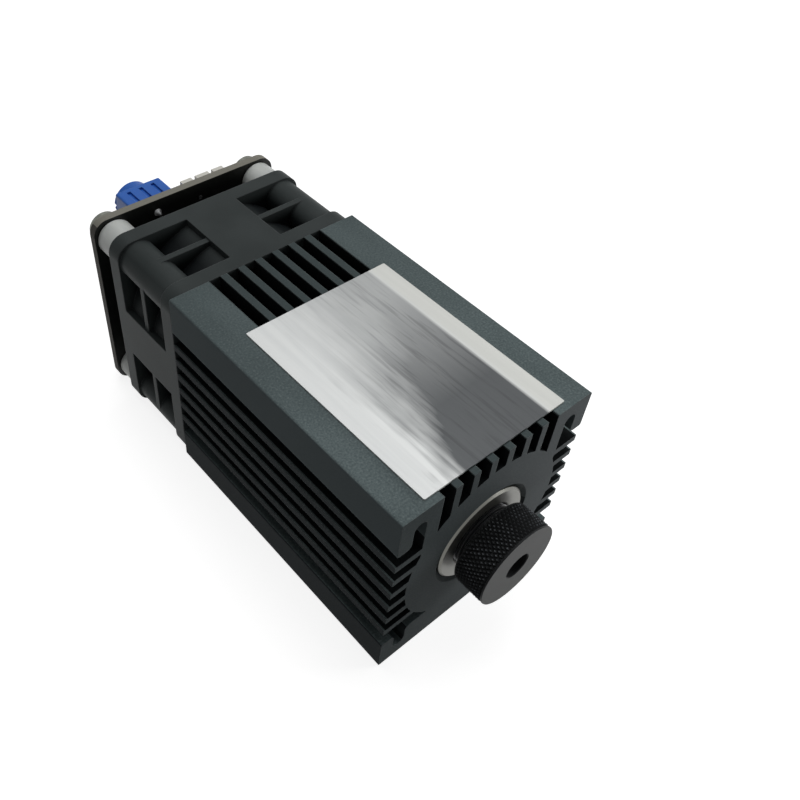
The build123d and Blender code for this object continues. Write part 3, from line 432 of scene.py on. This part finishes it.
def spun_thread(root, crest, front, rear, pitch, bore=0.0, middle=(0.0, beam_height), steps=40):
    """Threaded rod, or threaded tube if it has a bore, about a line parallel to Y; in mm."""
    bm = bmesh.new()
    ridge_profile = ((root, 0.0), (root, 0.15), (crest, 0.50), (crest, 0.65))
    ridge = []
    for turn in range(-2, int((rear - front) / pitch) + 2):
        for radius, share in ridge_profile:
            ridge.append(bm.verts.new((radius, front + (turn + share) * pitch, 0.0)))
    wire = [bm.edges.new(pair) for pair in zip(ridge, ridge[1:])]
    bmesh.ops.spin(bm, geom=ridge + wire, cent=(0, 0, 0), axis=(0, 1, 0), angle=math.tau,
                   dvec=(0, pitch / steps, 0), steps=steps, use_duplicate=False)
    bmesh.ops.remove_doubles(bm, verts=bm.verts, dist=pitch * 0.01)
    for cut, way in ((front, -1), (rear, 1)):
        bmesh.ops.bisect_plane(bm, geom=bm.verts[:] + bm.edges[:] + bm.faces[:],
                               plane_co=(0, cut, 0), plane_no=(0, way, 0), clear_outer=True)
    # The cuts leave slivers where they run along the thread's slope.
    bmesh.ops.dissolve_degenerate(bm, edges=bm.edges[:], dist=0.003)
    rims = [e for e in bm.edges if e.is_boundary]
    if bore:
        for cut in (front, rear):
            rim = [e for e in rims if abs(e.verts[0].co.y - cut) < 1e-4]
            bmesh.ops.extrude_edge_only(bm, edges=rim)
        for v in [v for v in bm.verts if v.is_boundary]:
            v.co = Vector((v.co.x, 0, v.co.z)).normalized() * bore + Vector((0, v.co.y, 0))
        bmesh.ops.bridge_loops(bm, edges=[e for e in bm.edges if e.is_boundary])
    else:
        bmesh.ops.holes_fill(bm, edges=rims)
    bmesh.ops.recalc_face_normals(bm, faces=bm.faces)
    bmesh.ops.translate(bm, verts=bm.verts, vec=(middle[0], 0.0, middle[1]))
    return bm


def finish_piece(bm, name, body, finish, smooth_angle=35.0):
    """Turns a mesh in mm into a piece in metres with its finish; it rides on a body, if given."""
    bmesh.ops.scale(bm, verts=bm.verts, vec=(0.001, 0.001, 0.001))
    mesh = bpy.data.meshes.new(name)
    bm.to_mesh(mesh)
    bm.free()
    mesh.polygons.foreach_set("use_smooth", [True] * len(mesh.polygons))
    mesh.set_sharp_from_angle(angle=math.radians(smooth_angle))
    mesh.materials.append(finish)
    piece = bpy.data.objects.new(name, mesh)
    bpy.context.scene.collection.objects.link(piece)
    if body:
        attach(piece, body)
    return piece


sleeve_black, tree, shader = new_finish("sleeve_black", (46, 47, 49), 0.5, 0.36)
tint(tree, shader, turning_rings(tree, 100 * micron), (36, 37, 39), (64, 65, 67))
sleeve = spun_thread(root=5.72, crest=5.99, front=-34.42, rear=-10.77, pitch=0.5, bore=3.5)
threaded_sleeve = finish_piece(
    sleeve, "threaded_sleeve", "focus_ring", sleeve_black)
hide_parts("lens_sleeve")

lens_glass = mottled_finish(
    "coated_glass", (232, 240, 244), metallic=0.0, roughness=0.02,
    mottle=120, dark=(224, 240, 240), pale=(236, 238, 250),
    sockets={"Transmission Weight": 1.0, "IOR": 1.52,
             "Coat Weight": 0.6, "Coat Tint": paint(150, 210, 190)})
dress(lens_glass, "focus_lens")

drawn_steel = mottled_finish(
    "drawn_steel", (170, 170, 168), metallic=1.0, roughness=0.28,
    mottle=3000, dark=(142, 142, 140), pale=(186, 186, 184), sheen=(3600, 0.20, 0.40),
    texture=(4200, 4 * micron), rounding=60 * micron)
dress(drawn_steel, "focus_spring", "rotor_yoke", "fan_shaft", "stator_core")

spring_low, spring_high = box_mm("focus_spring")
wire_radius = 0.3
coil_turns = 3.5
coil_steps = 140
coil_radius = (spring_high.x - spring_low.x) / 2 - wire_radius
coil_front = spring_low.y + wire_radius
coil_rear = spring_high.y - wire_radius
coil_lead = (coil_rear - coil_front) / (math.tau * coil_turns * coil_radius)
bm = bmesh.new()
wire_end = Matrix.Translation((coil_radius, coil_front, 0.0))
wire_end = wire_end @ Matrix.Rotation(math.atan(coil_lead), 4, "X")
bmesh.ops.create_circle(bm, cap_ends=False, segments=12, radius=wire_radius, matrix=wire_end)
bmesh.ops.spin(bm, geom=bm.verts[:] + bm.edges[:], cent=(0, 0, 0), axis=(0, 1, 0),
               angle=math.tau * coil_turns, dvec=(0, (coil_rear - coil_front) / coil_steps, 0),
               steps=coil_steps, use_duplicate=False)
bmesh.ops.holes_fill(bm, edges=[e for e in bm.edges if e.is_boundary])
bmesh.ops.recalc_face_normals(bm, faces=bm.faces)
bmesh.ops.translate(bm, verts=bm.verts, vec=(0.0, 0.0, beam_height))
spring_coil = finish_piece(bm, "spring_coil", None, drawn_steel, 50.0)
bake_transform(spring_coil)
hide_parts("focus_spring")


# The focusing knob is turned from aluminium, given a crossed knurl round its side and
# anodised black. The plain front face is a shade greyer, with painted shade towards its bottom,
# and the knurl's points carry painted glints.
def spin_round(bm, profile, steps, middle=(0.0, 0.0), closed=False):
    """Spins a line of (radius, y) points once round a line parallel to Y at x and z; in mm."""
    x, z = middle
    points = [bm.verts.new((x + radius, y, z)) for radius, y in profile]
    following = points[1:] + points[:1] if closed else points[1:]
    wire = [bm.edges.new(pair) for pair in zip(points, following)]
    bmesh.ops.spin(bm, geom=points + wire, cent=(x, 0, z), axis=(0, 1, 0), angle=math.tau,
                   steps=steps, use_merge=True, use_duplicate=False)


knob_low, knob_high = box_mm("focus_knob")
knob_front, knob_rear = knob_low.y, knob_high.y
face_rear = knob_front + 1.45
beam_hole, sleeve_socket = 2.40, 6.01
diamonds = 64
rows = 11
knurl_front = knob_front + 0.34
knurl_rear = knob_rear - 0.24
knurl_point = (knob_high.x - knob_low.x) / 2
knurl_groove = knurl_point - 0.42
knurl_end = knurl_point - 0.16
face_edge = knurl_point - 0.14
collar = face_edge + 0.06
row_ys = [knurl_front + (knurl_rear - knurl_front) * row / (rows - 1) for row in range(rows)]
knob_profile = [
    (beam_hole + 0.15, knob_front), (face_edge, knob_front),
    (collar, knob_front + 0.10), (collar, knob_front + 0.28),
    *[(knurl_point, y) for y in row_ys],
    (knurl_point - 0.18, knob_rear - 0.16), (knurl_point - 0.35, knob_rear),
    (sleeve_socket + 0.09, knob_rear), (sleeve_socket, knob_rear - 0.12),
    (sleeve_socket, face_rear), (beam_hole, face_rear), (beam_hole, knob_front + 0.15),
]
bm = bmesh.new()
spin_round(bm, knob_profile, 2 * diamonds, closed=True)
bmesh.ops.remove_doubles(bm, verts=bm.verts, dist=0.001)
groove_points = set()
for v in bm.verts:
    out = math.hypot(v.co.x, v.co.z)
    if abs(out - knurl_point) > 0.01:
        continue
    row = min(range(rows), key=lambda r: abs(row_ys[r] - v.co.y))
    step = round(math.atan2(v.co.z, v.co.x) / math.tau * 2 * diamonds)
    radius = knurl_point
    if (row + step) % 2:
        groove_points.add(v)
        radius = knurl_groove
    if row in (0, rows - 1):
        radius = min(radius, knurl_end)
    v.co.x *= radius / out
    v.co.z *= radius / out
for face in [f for f in bm.faces if len(f.verts) == 4]:
    low = [v for v in face.verts if v in groove_points]
    if len(low) == 2:
        bmesh.utils.face_split(face, low[0], low[1])
bmesh.ops.recalc_face_normals(bm, faces=bm.faces)
bmesh.ops.translate(bm, verts=bm.verts, vec=(0.0, 0.0, beam_height))

knob_black, tree, shader = new_finish("knob_black", (44, 46, 49), 0.0, 0.42)
shader.inputs["Specular IOR Level"].default_value = 0.04
spot = place_from_axis(tree)
rings = turning_rings(tree, 90 * micron)
# Painted glints: the knurl's points are tinted bright in patches.
bright_from, bright_to = (knurl_point - 0.20) / 1000, (knurl_point - 0.02) / 1000
bright = between(tree, distance_out(tree, spot), 0.0, 0.9, bright_from, bright_to)
wear_and_glint_patches = between(tree, grain(tree, 700), 0.12, 1.0, 0.42, 0.62)
behind_face = reckon(tree, "GREATER_THAN", spot["Y"], (knurl_front + 0.05) / 1000)
front_face = reckon(tree, "LESS_THAN", spot["Y"], (knob_front + 0.02) / 1000)
bright = product(tree, bright, wear_and_glint_patches, behind_face)
tone = blend_colours(tree, bright, (18, 20, 23), (150, 155, 162))
# Painted shade: the front face is darker towards its bottom.
shaded_face_tone = shade(tree, (66, 68, 67), (82, 83, 83), spot["Z"], low_at=-0.006, high_at=0.004)
tone = blend_colours(tree, front_face, tone, shaded_face_tone)
tint(tree, shader, between(tree, rings, 0.0, 0.35), tone, (92, 93, 92))
relief(tree, shader, rings, 6 * micron)
knurled_knob = finish_piece(bm, "knurled_knob", "focus_ring", knob_black, 20.0)
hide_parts("focus_knob")


# A thin blank foil plate is glued over the top grooves. It is brushed silver, with a painted
# dark reflection that widens towards the beam end and a clean strip along its right edge.
foil_front, foil_rear = -0.027, 0.014
patch_left = -0.0100
strip_left = 0.0108
foil, tree, shader = new_finish("brushed_foil", (204, 205, 204), 0.25, 0.44)
spot = xyz_of(tree, place_on_piece(tree))
along = between(tree, spot["Y"], 0.0, 1.0, foil_front, foil_rear)
streaks = grain(tree, 900, stretch=(1.0, 0.035, 1.0), detail=5.0)
patches = grain(tree, 150, stretch=(1.0, 0.45, 1.0), detail=3.0)
scratches = grain(tree, 1500, stretch=(1.0, 0.06, 1.0), detail=3.0)
streak_shift = between(tree, streaks, -0.0012, 0.0012, 0.3, 0.7)
patch_shift = between(tree, patches, -0.0022, 0.0022, 0.3, 0.7)
from_left = reckon(tree, "ADD", reckon(tree, "ADD", spot["X"], streak_shift), patch_shift)
from_left = reckon(tree, "SUBTRACT", from_left, patch_left)
fade_width = between(tree, along, 0.0045, 0.0155, 0.07, 0.66)
# Painted reflection: a dark patch from left of the middle up to the strip, with darker streaks in
# it.
painted_dark_reflection = between(tree, reckon(tree, "DIVIDE", from_left, fade_width), 0.0, 1.0)
reflection_strength = between(tree, along, 0.97, 0.42, 0.27, 0.85)
left_of_strip = between(tree, spot["X"], 1.0, 0.0, strip_left, strip_left + 0.0006)
painted_dark_reflection = product(tree, painted_dark_reflection, reflection_strength, left_of_strip)
tone = shade(tree, (209, 211, 210), (186, 189, 190), streaks, 0.35, low_at=0.35, high_at=0.65)
tone = shade(tree, tone, (202, 202, 191), spot["X"], 0.4, strip_left, strip_left + 0.0012)
tone = blend_colours(tree, painted_dark_reflection, tone, (52, 56, 59))
dark_lines = product(tree, painted_dark_reflection, between(tree, scratches, 0.0, 0.55, 0.52, 0.66))
tint(tree, shader, dark_lines, tone, (34, 37, 40))
gloss(tree, shader, streaks, 0.36, 0.52)
brushing = reckon(tree, "ADD", streaks, patches)
relief(tree, shader, brushing, 10 * micron, rounded_normal(tree, 80 * micron))
dress(foil, "label_plate")


# The fan's frame and impeller are moulded from black plastic, with a faint spark texture,
# soft edges and slightly shinier blades. The shaft's clip is natural nylon.
# Between its flanges the frame's outside is set back, and painted near black there as shade.
fan_low, fan_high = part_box("fan_frame")
flange_thickness = 0.0030
duct_wall = 0.0188
recess_floor, recess_rim = 0.0172, 0.0191
moulded_black, tree, shader = new_finish("moulded_black_plastic", (55, 60, 60), 0.0, 0.50)
shader.inputs["Specular IOR Level"].default_value = 0.06
spot = place_from_axis(tree)
reach = reckon(tree, "MAXIMUM", *[reckon(tree, "ABSOLUTE", spot[axis]) for axis in "XZ"])
painted_recess_shade = product(
    tree, between(tree, reach, 0.9, 0.0, recess_floor, recess_rim),
    within(tree, spot["Y"], fan_low.y + flange_thickness, fan_high.y - flange_thickness),
    reckon(tree, "GREATER_THAN", distance_out(tree, spot), duct_wall))
soft_edges = rounded_normal(tree, 300 * micron)
tone = shade(tree, (52, 57, 57), (60, 65, 65), grain(tree, 90), low_at=0.35, high_at=0.65)
# Painted highlight: the frame's edges are tinted paler.
tone = shade(tree, tone, (104, 106, 108), edge_share(tree, soft_edges), 0.35)
# Painted shade: the set-back outside between the flanges is tinted near black.
tint(tree, shader, painted_recess_shade, tone, (16, 19, 21))
texture = grain(tree, 3800, detail=3.0)
gloss(tree, shader, texture, 0.40, 0.56)
relief(tree, shader, texture, 12 * micron, soft_edges)
dress(moulded_black, "fan_frame")

impeller_black = mottled_finish(
    "impeller_black_plastic", (46, 47, 49), metallic=0.0, roughness=0.34,
    mottle=220, dark=(42, 43, 45), pale=(54, 55, 57),
    texture=(2600, 6 * micron), rounding=200 * micron, sockets={"Specular IOR Level": 0.25})
dress(impeller_black, "fan_rotor")

natural_nylon = mottled_finish(
    "natural_nylon", (212, 214, 211), metallic=0.0, roughness=0.42,
    mottle=400, dark=(188, 192, 189), pale=(208, 211, 208),
    texture=(1800, 8 * micron), rounding=220 * micron,
    sockets={"Subsurface Weight": 0.25, "Subsurface Radius": (0.0012, 0.0012, 0.0010)})
dress(natural_nylon, "board_spacers", "shaft_clip")


# Inside the hub are the bonded ring magnet, the laminated stator with its four copper
# windings and the fan's own small round board.
magnet_grey = mottled_finish(
    "bonded_magnet", (58, 54, 52), metallic=0.1, roughness=0.55,
    mottle=2200, dark=(46, 43, 42), pale=(76, 72, 69), texture=(3000, 10 * micron))
dress(magnet_grey, "rotor_magnet")

copper_wire, tree, shader = new_finish("enamelled_copper", (176, 92, 48), 0.9, 0.30)
turns = tree.nodes.new("ShaderNodeTexWave")
turns.bands_direction = "DIAGONAL"
turns.inputs["Scale"].default_value = 1500
tree.links.new(place_on_piece(tree), turns.inputs["Vector"])
tint(tree, shader, turns.outputs["Fac"], (120, 56, 26), (204, 120, 66))
relief(tree, shader, turns.outputs["Fac"], 60 * micron, rounded_normal(tree, 300 * micron))
dress(copper_wire, "stator_coils")

green_mask = mottled_finish(
    "green_solder_mask", (30, 86, 52), metallic=0.0, roughness=0.32,
    mottle=700, dark=(24, 74, 44), pale=(38, 98, 60))
dress(green_mask, "fan_circuit_board")


# The driver board is glass-fibre laminate with black solder mask on both faces. Its cut edge
# shows the tan laminate. Tracks run under the mask, and pads and pin joints are tinned.
black_mask, tree, shader = new_finish("black_solder_mask", (30, 31, 30), 0.0, 0.34)
shader.inputs["Specular IOR Level"].default_value = 0.20
weave = grain(tree, 1600, detail=1.0)
cut_edge = reckon(tree, "SUBTRACT", 1.0, facing(tree, "Y", least=0.5))
fibres = grain(tree, 2600, stretch=(0.3, 6.0, 0.3), detail=3.0)
edge_tone = blend_colours(tree, fibres, (112, 110, 102), (150, 148, 138))
# Painted shade: the cut edges facing sideways are darker than the tan ones.
edge_tone = blend_colours(tree, facing(tree, "X"), edge_tone, (58, 56, 52))
mask_tone = blend_colours(tree, weave, (24, 25, 24), (36, 37, 35))
tint(tree, shader, cut_edge, mask_tone, edge_tone)
gloss(tree, shader, cut_edge, 0.28, 0.7)
relief(tree, shader, weave, 5 * micron, rounded_normal(tree, 100 * micron))
dress(black_mask, "driver_board")


def add_block(bm, middle, size, turn=Matrix.Identity(4)):
    """Box of a size (x, y, z) round its middle; in mm."""
    bmesh.ops.create_cube(
        bm, size=1.0, matrix=Matrix.Translation(middle) @ turn @ Matrix.Diagonal((*size, 1.0)))


def lay_track(bm, points, width, face, height):
    """Flat strip along points (x, z) on the board's face; in mm. Each leg is a hair higher."""
    for leg, ((x1, z1), (x2, z2)) in enumerate(zip(points, points[1:])):
        run = Vector((x2 - x1, 0.0, z2 - z1))
        turn = Matrix.Rotation(-math.atan2(run.z, run.x), 4, "Y")
        rise = height * (1 + 0.08 * leg)
        middle = ((x1 + x2) / 2, face + rise / 2, beam_height + (z1 + z2) / 2)
        add_block(bm, middle, (run.length + width * 0.8, abs(rise), width), turn)


def middle_of(node):
    """Middle of a CAD piece as (x, height over the optical axis), in mm."""
    low, high = box_mm(node)
    return (low.x + high.x) / 2, (low.z + high.z) / 2 - beam_height


def pins_of(node, ways, pitch=2.5):
    """Places of a header's pins from left to right."""
    x, z = middle_of(node)
    return [(x + pitch * (way - (ways - 1) / 2), z) for way in range(ways)]


board_low, board_high = box_mm("driver_board")
board_front, board_back = board_low.y, board_high.y
track_rise = 0.05
dial_pitch = 2.54
supply, sense, ground = pins_of("power_header", 3)
fan_plus, fan_minus = pins_of("fan_header", 2)
laser_minus, laser_plus = pins_of("laser_header", 2)
dial_x, dial_z = middle_of("trimmer_body")
wiper = (dial_x, dial_z + dial_pitch)
dial_left = (dial_x - dial_pitch, dial_z)
dial_right = (dial_x + dial_pitch, dial_z)
back_routes = [
    ([supply, (supply[0], 8.2), (-4.0, 8.2), (-8.0, 6.8)], 1.4),
    ([sense, (sense[0], 8.8), (9.8, 6.6)], 0.7),
    ([ground, (14.4, 8.2), (14.4, -3.0), (12.2, -5.2)], 1.4),
    ([dial_left, (-13.0, 10.4), (-13.0, 8.0)], 0.4),
    ([wiper, (-0.6, 10.6), (-0.6, 5.6)], 0.35),
    ([dial_right, (1.2, 9.2), (1.2, 5.6)], 0.35),
    ([(-17.0, 1.0), (-18.0, 0.0), (-18.0, -9.0), (-14.0, -13.0), fan_plus], 1.1),
    ([fan_minus, (-2.0, -9.2), (3.0, -9.2), (5.25, -11.4), laser_minus], 1.1),
    ([laser_plus, (7.75, -9.4), (4.6, -6.2)], 1.1),
    ([(-1.4, -0.4), (-1.4, -2.6)], 0.35),
    ([(2.4, -0.4), (2.4, -3.0), (4.4, -5.0)], 0.35),
]
front_routes = [
    ([supply, (supply[0], 4.0), (-5.75, -7.2), fan_minus], 1.0),
    ([ground, (12.6, 10.0), (12.6, -8.0), laser_plus], 1.0),
    ([dial_left, (dial_left[0], -12.0), fan_plus], 0.5),
]
tracks = bmesh.new()
for route, width in back_routes:
    lay_track(tracks, route, width, board_back, track_rise)
for route, width in front_routes:
    lay_track(tracks, route, width, board_front, -track_rise)
track_mask = mottled_finish(
    "mask_over_track", (58, 60, 58), metallic=0.0, roughness=0.28,
    mottle=1500, dark=(52, 54, 52), pale=(66, 68, 66))
finish_piece(tracks, "board_tracks", "housing", track_mask)

tinned = mottled_finish(
    "tinned_metal", (196, 197, 198), metallic=1.0, roughness=0.26,
    mottle=1800, dark=(176, 177, 178), pale=(212, 213, 214), sheen=(2400, 0.16, 0.36),
    texture=(2600, 10 * micron))
dress(tinned, "trimmer_pins", "header_pins", "chip_leads")

dull_solder = mottled_finish(
    "dull_solder", (120, 121, 122), metallic=0.85, roughness=0.46,
    mottle=1500, dark=(92, 94, 95), pale=(140, 141, 142), texture=(2200, 20 * micron))
solder_cone = [(0.78, 0.0), (0.76, 0.06), (0.58, 0.20), (0.44, 0.45), (0.37, 0.75), (0.34, 0.98)]
soldered_pins = [supply, sense, ground, fan_plus, fan_minus, laser_minus, laser_plus]
soldered_pins += [wiper, dial_left, dial_right]
via_radius, via_rise = 0.42, 0.06
vias = [(2.8, 16.8), (-3.0, 6.6), (-4.6, 6.6), (3.2, -7.8), (4.6, -7.8), (14.4, 4.6),
        (14.4, 2.6), (-15.6, -7.4), (-15.6, -9.2), (12.4, -9.8), (-12.6, -15.6)]
pad_rise, pad_share = 0.10, 0.82
pad_reaches = {"power_inductor": 0.7, "rectifier_diode": 0.9, "sense_resistor": 0.6}
joints = bmesh.new()
for x, z in soldered_pins:
    cone = [(radius, board_front - rise) for radius, rise in solder_cone]
    spin_round(joints, cone, 20, middle=(x, beam_height + z))
bmesh.ops.remove_doubles(joints, verts=joints.verts, dist=0.002)
bmesh.ops.holes_fill(joints, edges=[e for e in joints.edges if e.is_boundary])
bmesh.ops.recalc_face_normals(joints, faces=joints.faces)
for x, z in vias:
    for face, way in ((board_back, 1), (board_front, -1)):
        middle = Matrix.Translation((x, face + way * via_rise / 2, beam_height + z))
        bmesh.ops.create_cone(
            joints, cap_ends=True, segments=18, radius1=via_radius, radius2=via_radius,
            depth=via_rise, matrix=middle @ Matrix.Rotation(math.radians(90), 4, "X"))
for node, reach in pad_reaches.items():
    low, high = box_mm(node)
    for x in (low.x, high.x):
        add_block(joints, (x, board_back + pad_rise / 2, (low.z + high.z) / 2),
                  (2 * reach, pad_rise, pad_share * (high.z - low.z)))
finish_piece(joints, "solder_joints", "housing", dull_solder)

outline_gap, outline_width, outline_rise = 0.45, 0.16, 0.02
outline_limit = 19.4
outlined = ("power_inductor", "driver_chip", "rectifier_diode", "sense_resistor",
            "capacitor_base", "power_header", "fan_header", "laser_header", "trimmer_body")
legend = bmesh.new()
for node in outlined:
    low, high = box_mm(node)
    left, right = low.x - outline_gap, high.x + outline_gap
    foot = low.z - beam_height - outline_gap
    top = min(high.z - beam_height + outline_gap, outline_limit)
    corners = [(left, foot), (right, foot), (right, top), (left, top), (left, foot)]
    lay_track(legend, corners, outline_width, board_back, outline_rise)
legend_white = mottled_finish(
    "white_board_ink", (214, 214, 208), metallic=0.0, roughness=0.55,
    mottle=3200, dark=(196, 196, 190), pale=(222, 222, 216))
finish_piece(legend, "board_outlines", "housing", legend_white)


# On the back sit a shielded inductor, a chip on gull-wing leads, an electrolytic capacitor on
# its base, a moulded rectifier and a flat sense resistor with tinned ends.
chip_black = mottled_finish(
    "moulded_epoxy", (38, 38, 39), metallic=0.0, roughness=0.52,
    mottle=3400, dark=(30, 30, 31), pale=(54, 54, 55), detail=4.0,
    texture=(4600, 10 * micron), rounding=120 * micron)
dress(chip_black, "driver_chip", "capacitor_base", "rectifier_diode", "sense_resistor")

can_low, can_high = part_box("capacitor_can")
can_axis = ((can_low.x + can_high.x) / 2, (can_low.z + can_high.z) / 2)
can_sleeve, tree, shader = new_finish("capacitor_aluminium", (150, 150, 148), 0.9, 0.34)
rings = turning_rings(tree, 300 * micron, can_axis)
tint(tree, shader, rings, (132, 132, 130), (160, 160, 158))
relief(tree, shader, rings, 8 * micron, rounded_normal(tree, 200 * micron))
dress(can_sleeve, "capacitor_can")

ferrite = mottled_finish(
    "pressed_ferrite", (66, 65, 66), metallic=0.15, roughness=0.50,
    mottle=1800, dark=(52, 51, 52), pale=(84, 83, 84), detail=4.0,
    texture=(3000, 20 * micron), rounding=200 * micron)
dress(ferrite, "power_inductor")

inductor_low, inductor_high = box_mm("power_inductor")
inductor_axis = ((inductor_low.x + inductor_high.x) / 2, (inductor_low.z + inductor_high.z) / 2)
drum_profile = [(0.0, 0.28), (3.35, 0.28), (3.55, 0.12), (3.55, 0.0)]
drum_profile = [(radius, inductor_high.y + rise) for radius, rise in drum_profile]
drum = bmesh.new()
spin_round(drum, drum_profile, 48, middle=inductor_axis)
bmesh.ops.remove_doubles(drum, verts=drum.verts, dist=0.002)
bmesh.ops.holes_fill(drum, edges=[e for e in drum.edges if e.is_boundary])
bmesh.ops.recalc_face_normals(drum, faces=drum.faces)
finish_piece(drum, "inductor_drum", "housing", ferrite)

cap_width, cap_skin = 0.76, 0.03
tab_size = (0.30, 1.0, 1.9)
part_ends = bmesh.new()
low, high = box_mm("sense_resistor")
middle = (low + high) / 2
for x, inwards in ((low.x, 1), (high.x, -1)):
    add_block(part_ends, (x + inwards * (cap_width / 2 - 0.05), middle.y + 0.02, middle.z),
              (cap_width, high.y - low.y + 2 * cap_skin, high.z - low.z + 2 * cap_skin))
low, high = box_mm("rectifier_diode")
for x in (low.x - 0.05, high.x + 0.05):
    add_block(part_ends, (x, low.y + 0.55, (low.z + high.z) / 2), tab_size)
bmesh.ops.bevel(part_ends, geom=part_ends.edges[:], offset=0.05, segments=2, profile=0.5,
                affect="EDGES", material=-1)
finish_piece(part_ends, "part_ends", "housing", tinned)


# The trimmer is moulded in blue plastic. A round finger dial, slotted for a screwdriver,
# turns in its square body.
trimmer_blue, tree, shader = new_finish("trimmer_blue", (34, 76, 150), 0.0, 0.36)
shader.inputs["Specular IOR Level"].default_value = 0.15
shader.inputs["Coat Weight"].default_value = 0.08
soft_edges = rounded_normal(tree, 220 * micron)
tone = blend_colours(tree, grain(tree, 500), (37, 95, 186), (46, 108, 200))
edge_light = between(tree, edge_share(tree, soft_edges), 0.0, 0.5)
tint(tree, shader, edge_light, tone, (84, 134, 206))
relief(tree, shader, grain(tree, 3000), 8 * micron, soft_edges)
dress(trimmer_blue, "trimmer_body", "trimmer_dial")


# The three pin headers are moulded in white nylon, with a keyed wall round square tinned
# pins. They stand on the back of the board and are soldered from its front.
header_white = mottled_finish(
    "header_white", (228, 226, 216), metallic=0.0, roughness=0.36,
    mottle=600, dark=(220, 218, 207), pale=(234, 232, 223),
    texture=(2400, 6 * micron), rounding=150 * micron,
    sockets={"Subsurface Weight": 0.15, "Subsurface Radius": (0.0010, 0.0010, 0.0008)})
dress(header_white, "power_header", "fan_header", "laser_header")


# Four pan-head screws hold board, spacers and fan. They are zinc plated with a grey-brown
# tinge, and cut their own thread in the heat sink's channels.
plated_steel = mottled_finish(
    "grey_plated_steel", (120, 118, 108), metallic=0.9, roughness=0.36,
    mottle=1300, dark=(84, 86, 80), pale=(124, 126, 118), sheen=(2200, 0.28, 0.46),
    texture=(3600, 8 * micron), rounding=150 * micron)
dress(plated_steel, "assembly_screws")

screw_offset = 16.0
thread_rear = sink_high.y * 1000 - 0.1
screw_places = [(side * screw_offset, beam_height + level * screw_offset)
                for side in (-1, 1) for level in (-1, 1)]
for number, middle in enumerate(screw_places, 1):
    thread = spun_thread(root=1.19, crest=1.42, front=thread_rear - 8.1, rear=thread_rear,
                         pitch=0.5, middle=middle, steps=24)
    finish_piece(thread, f"screw_thread_{number}", "housing", plated_steel)
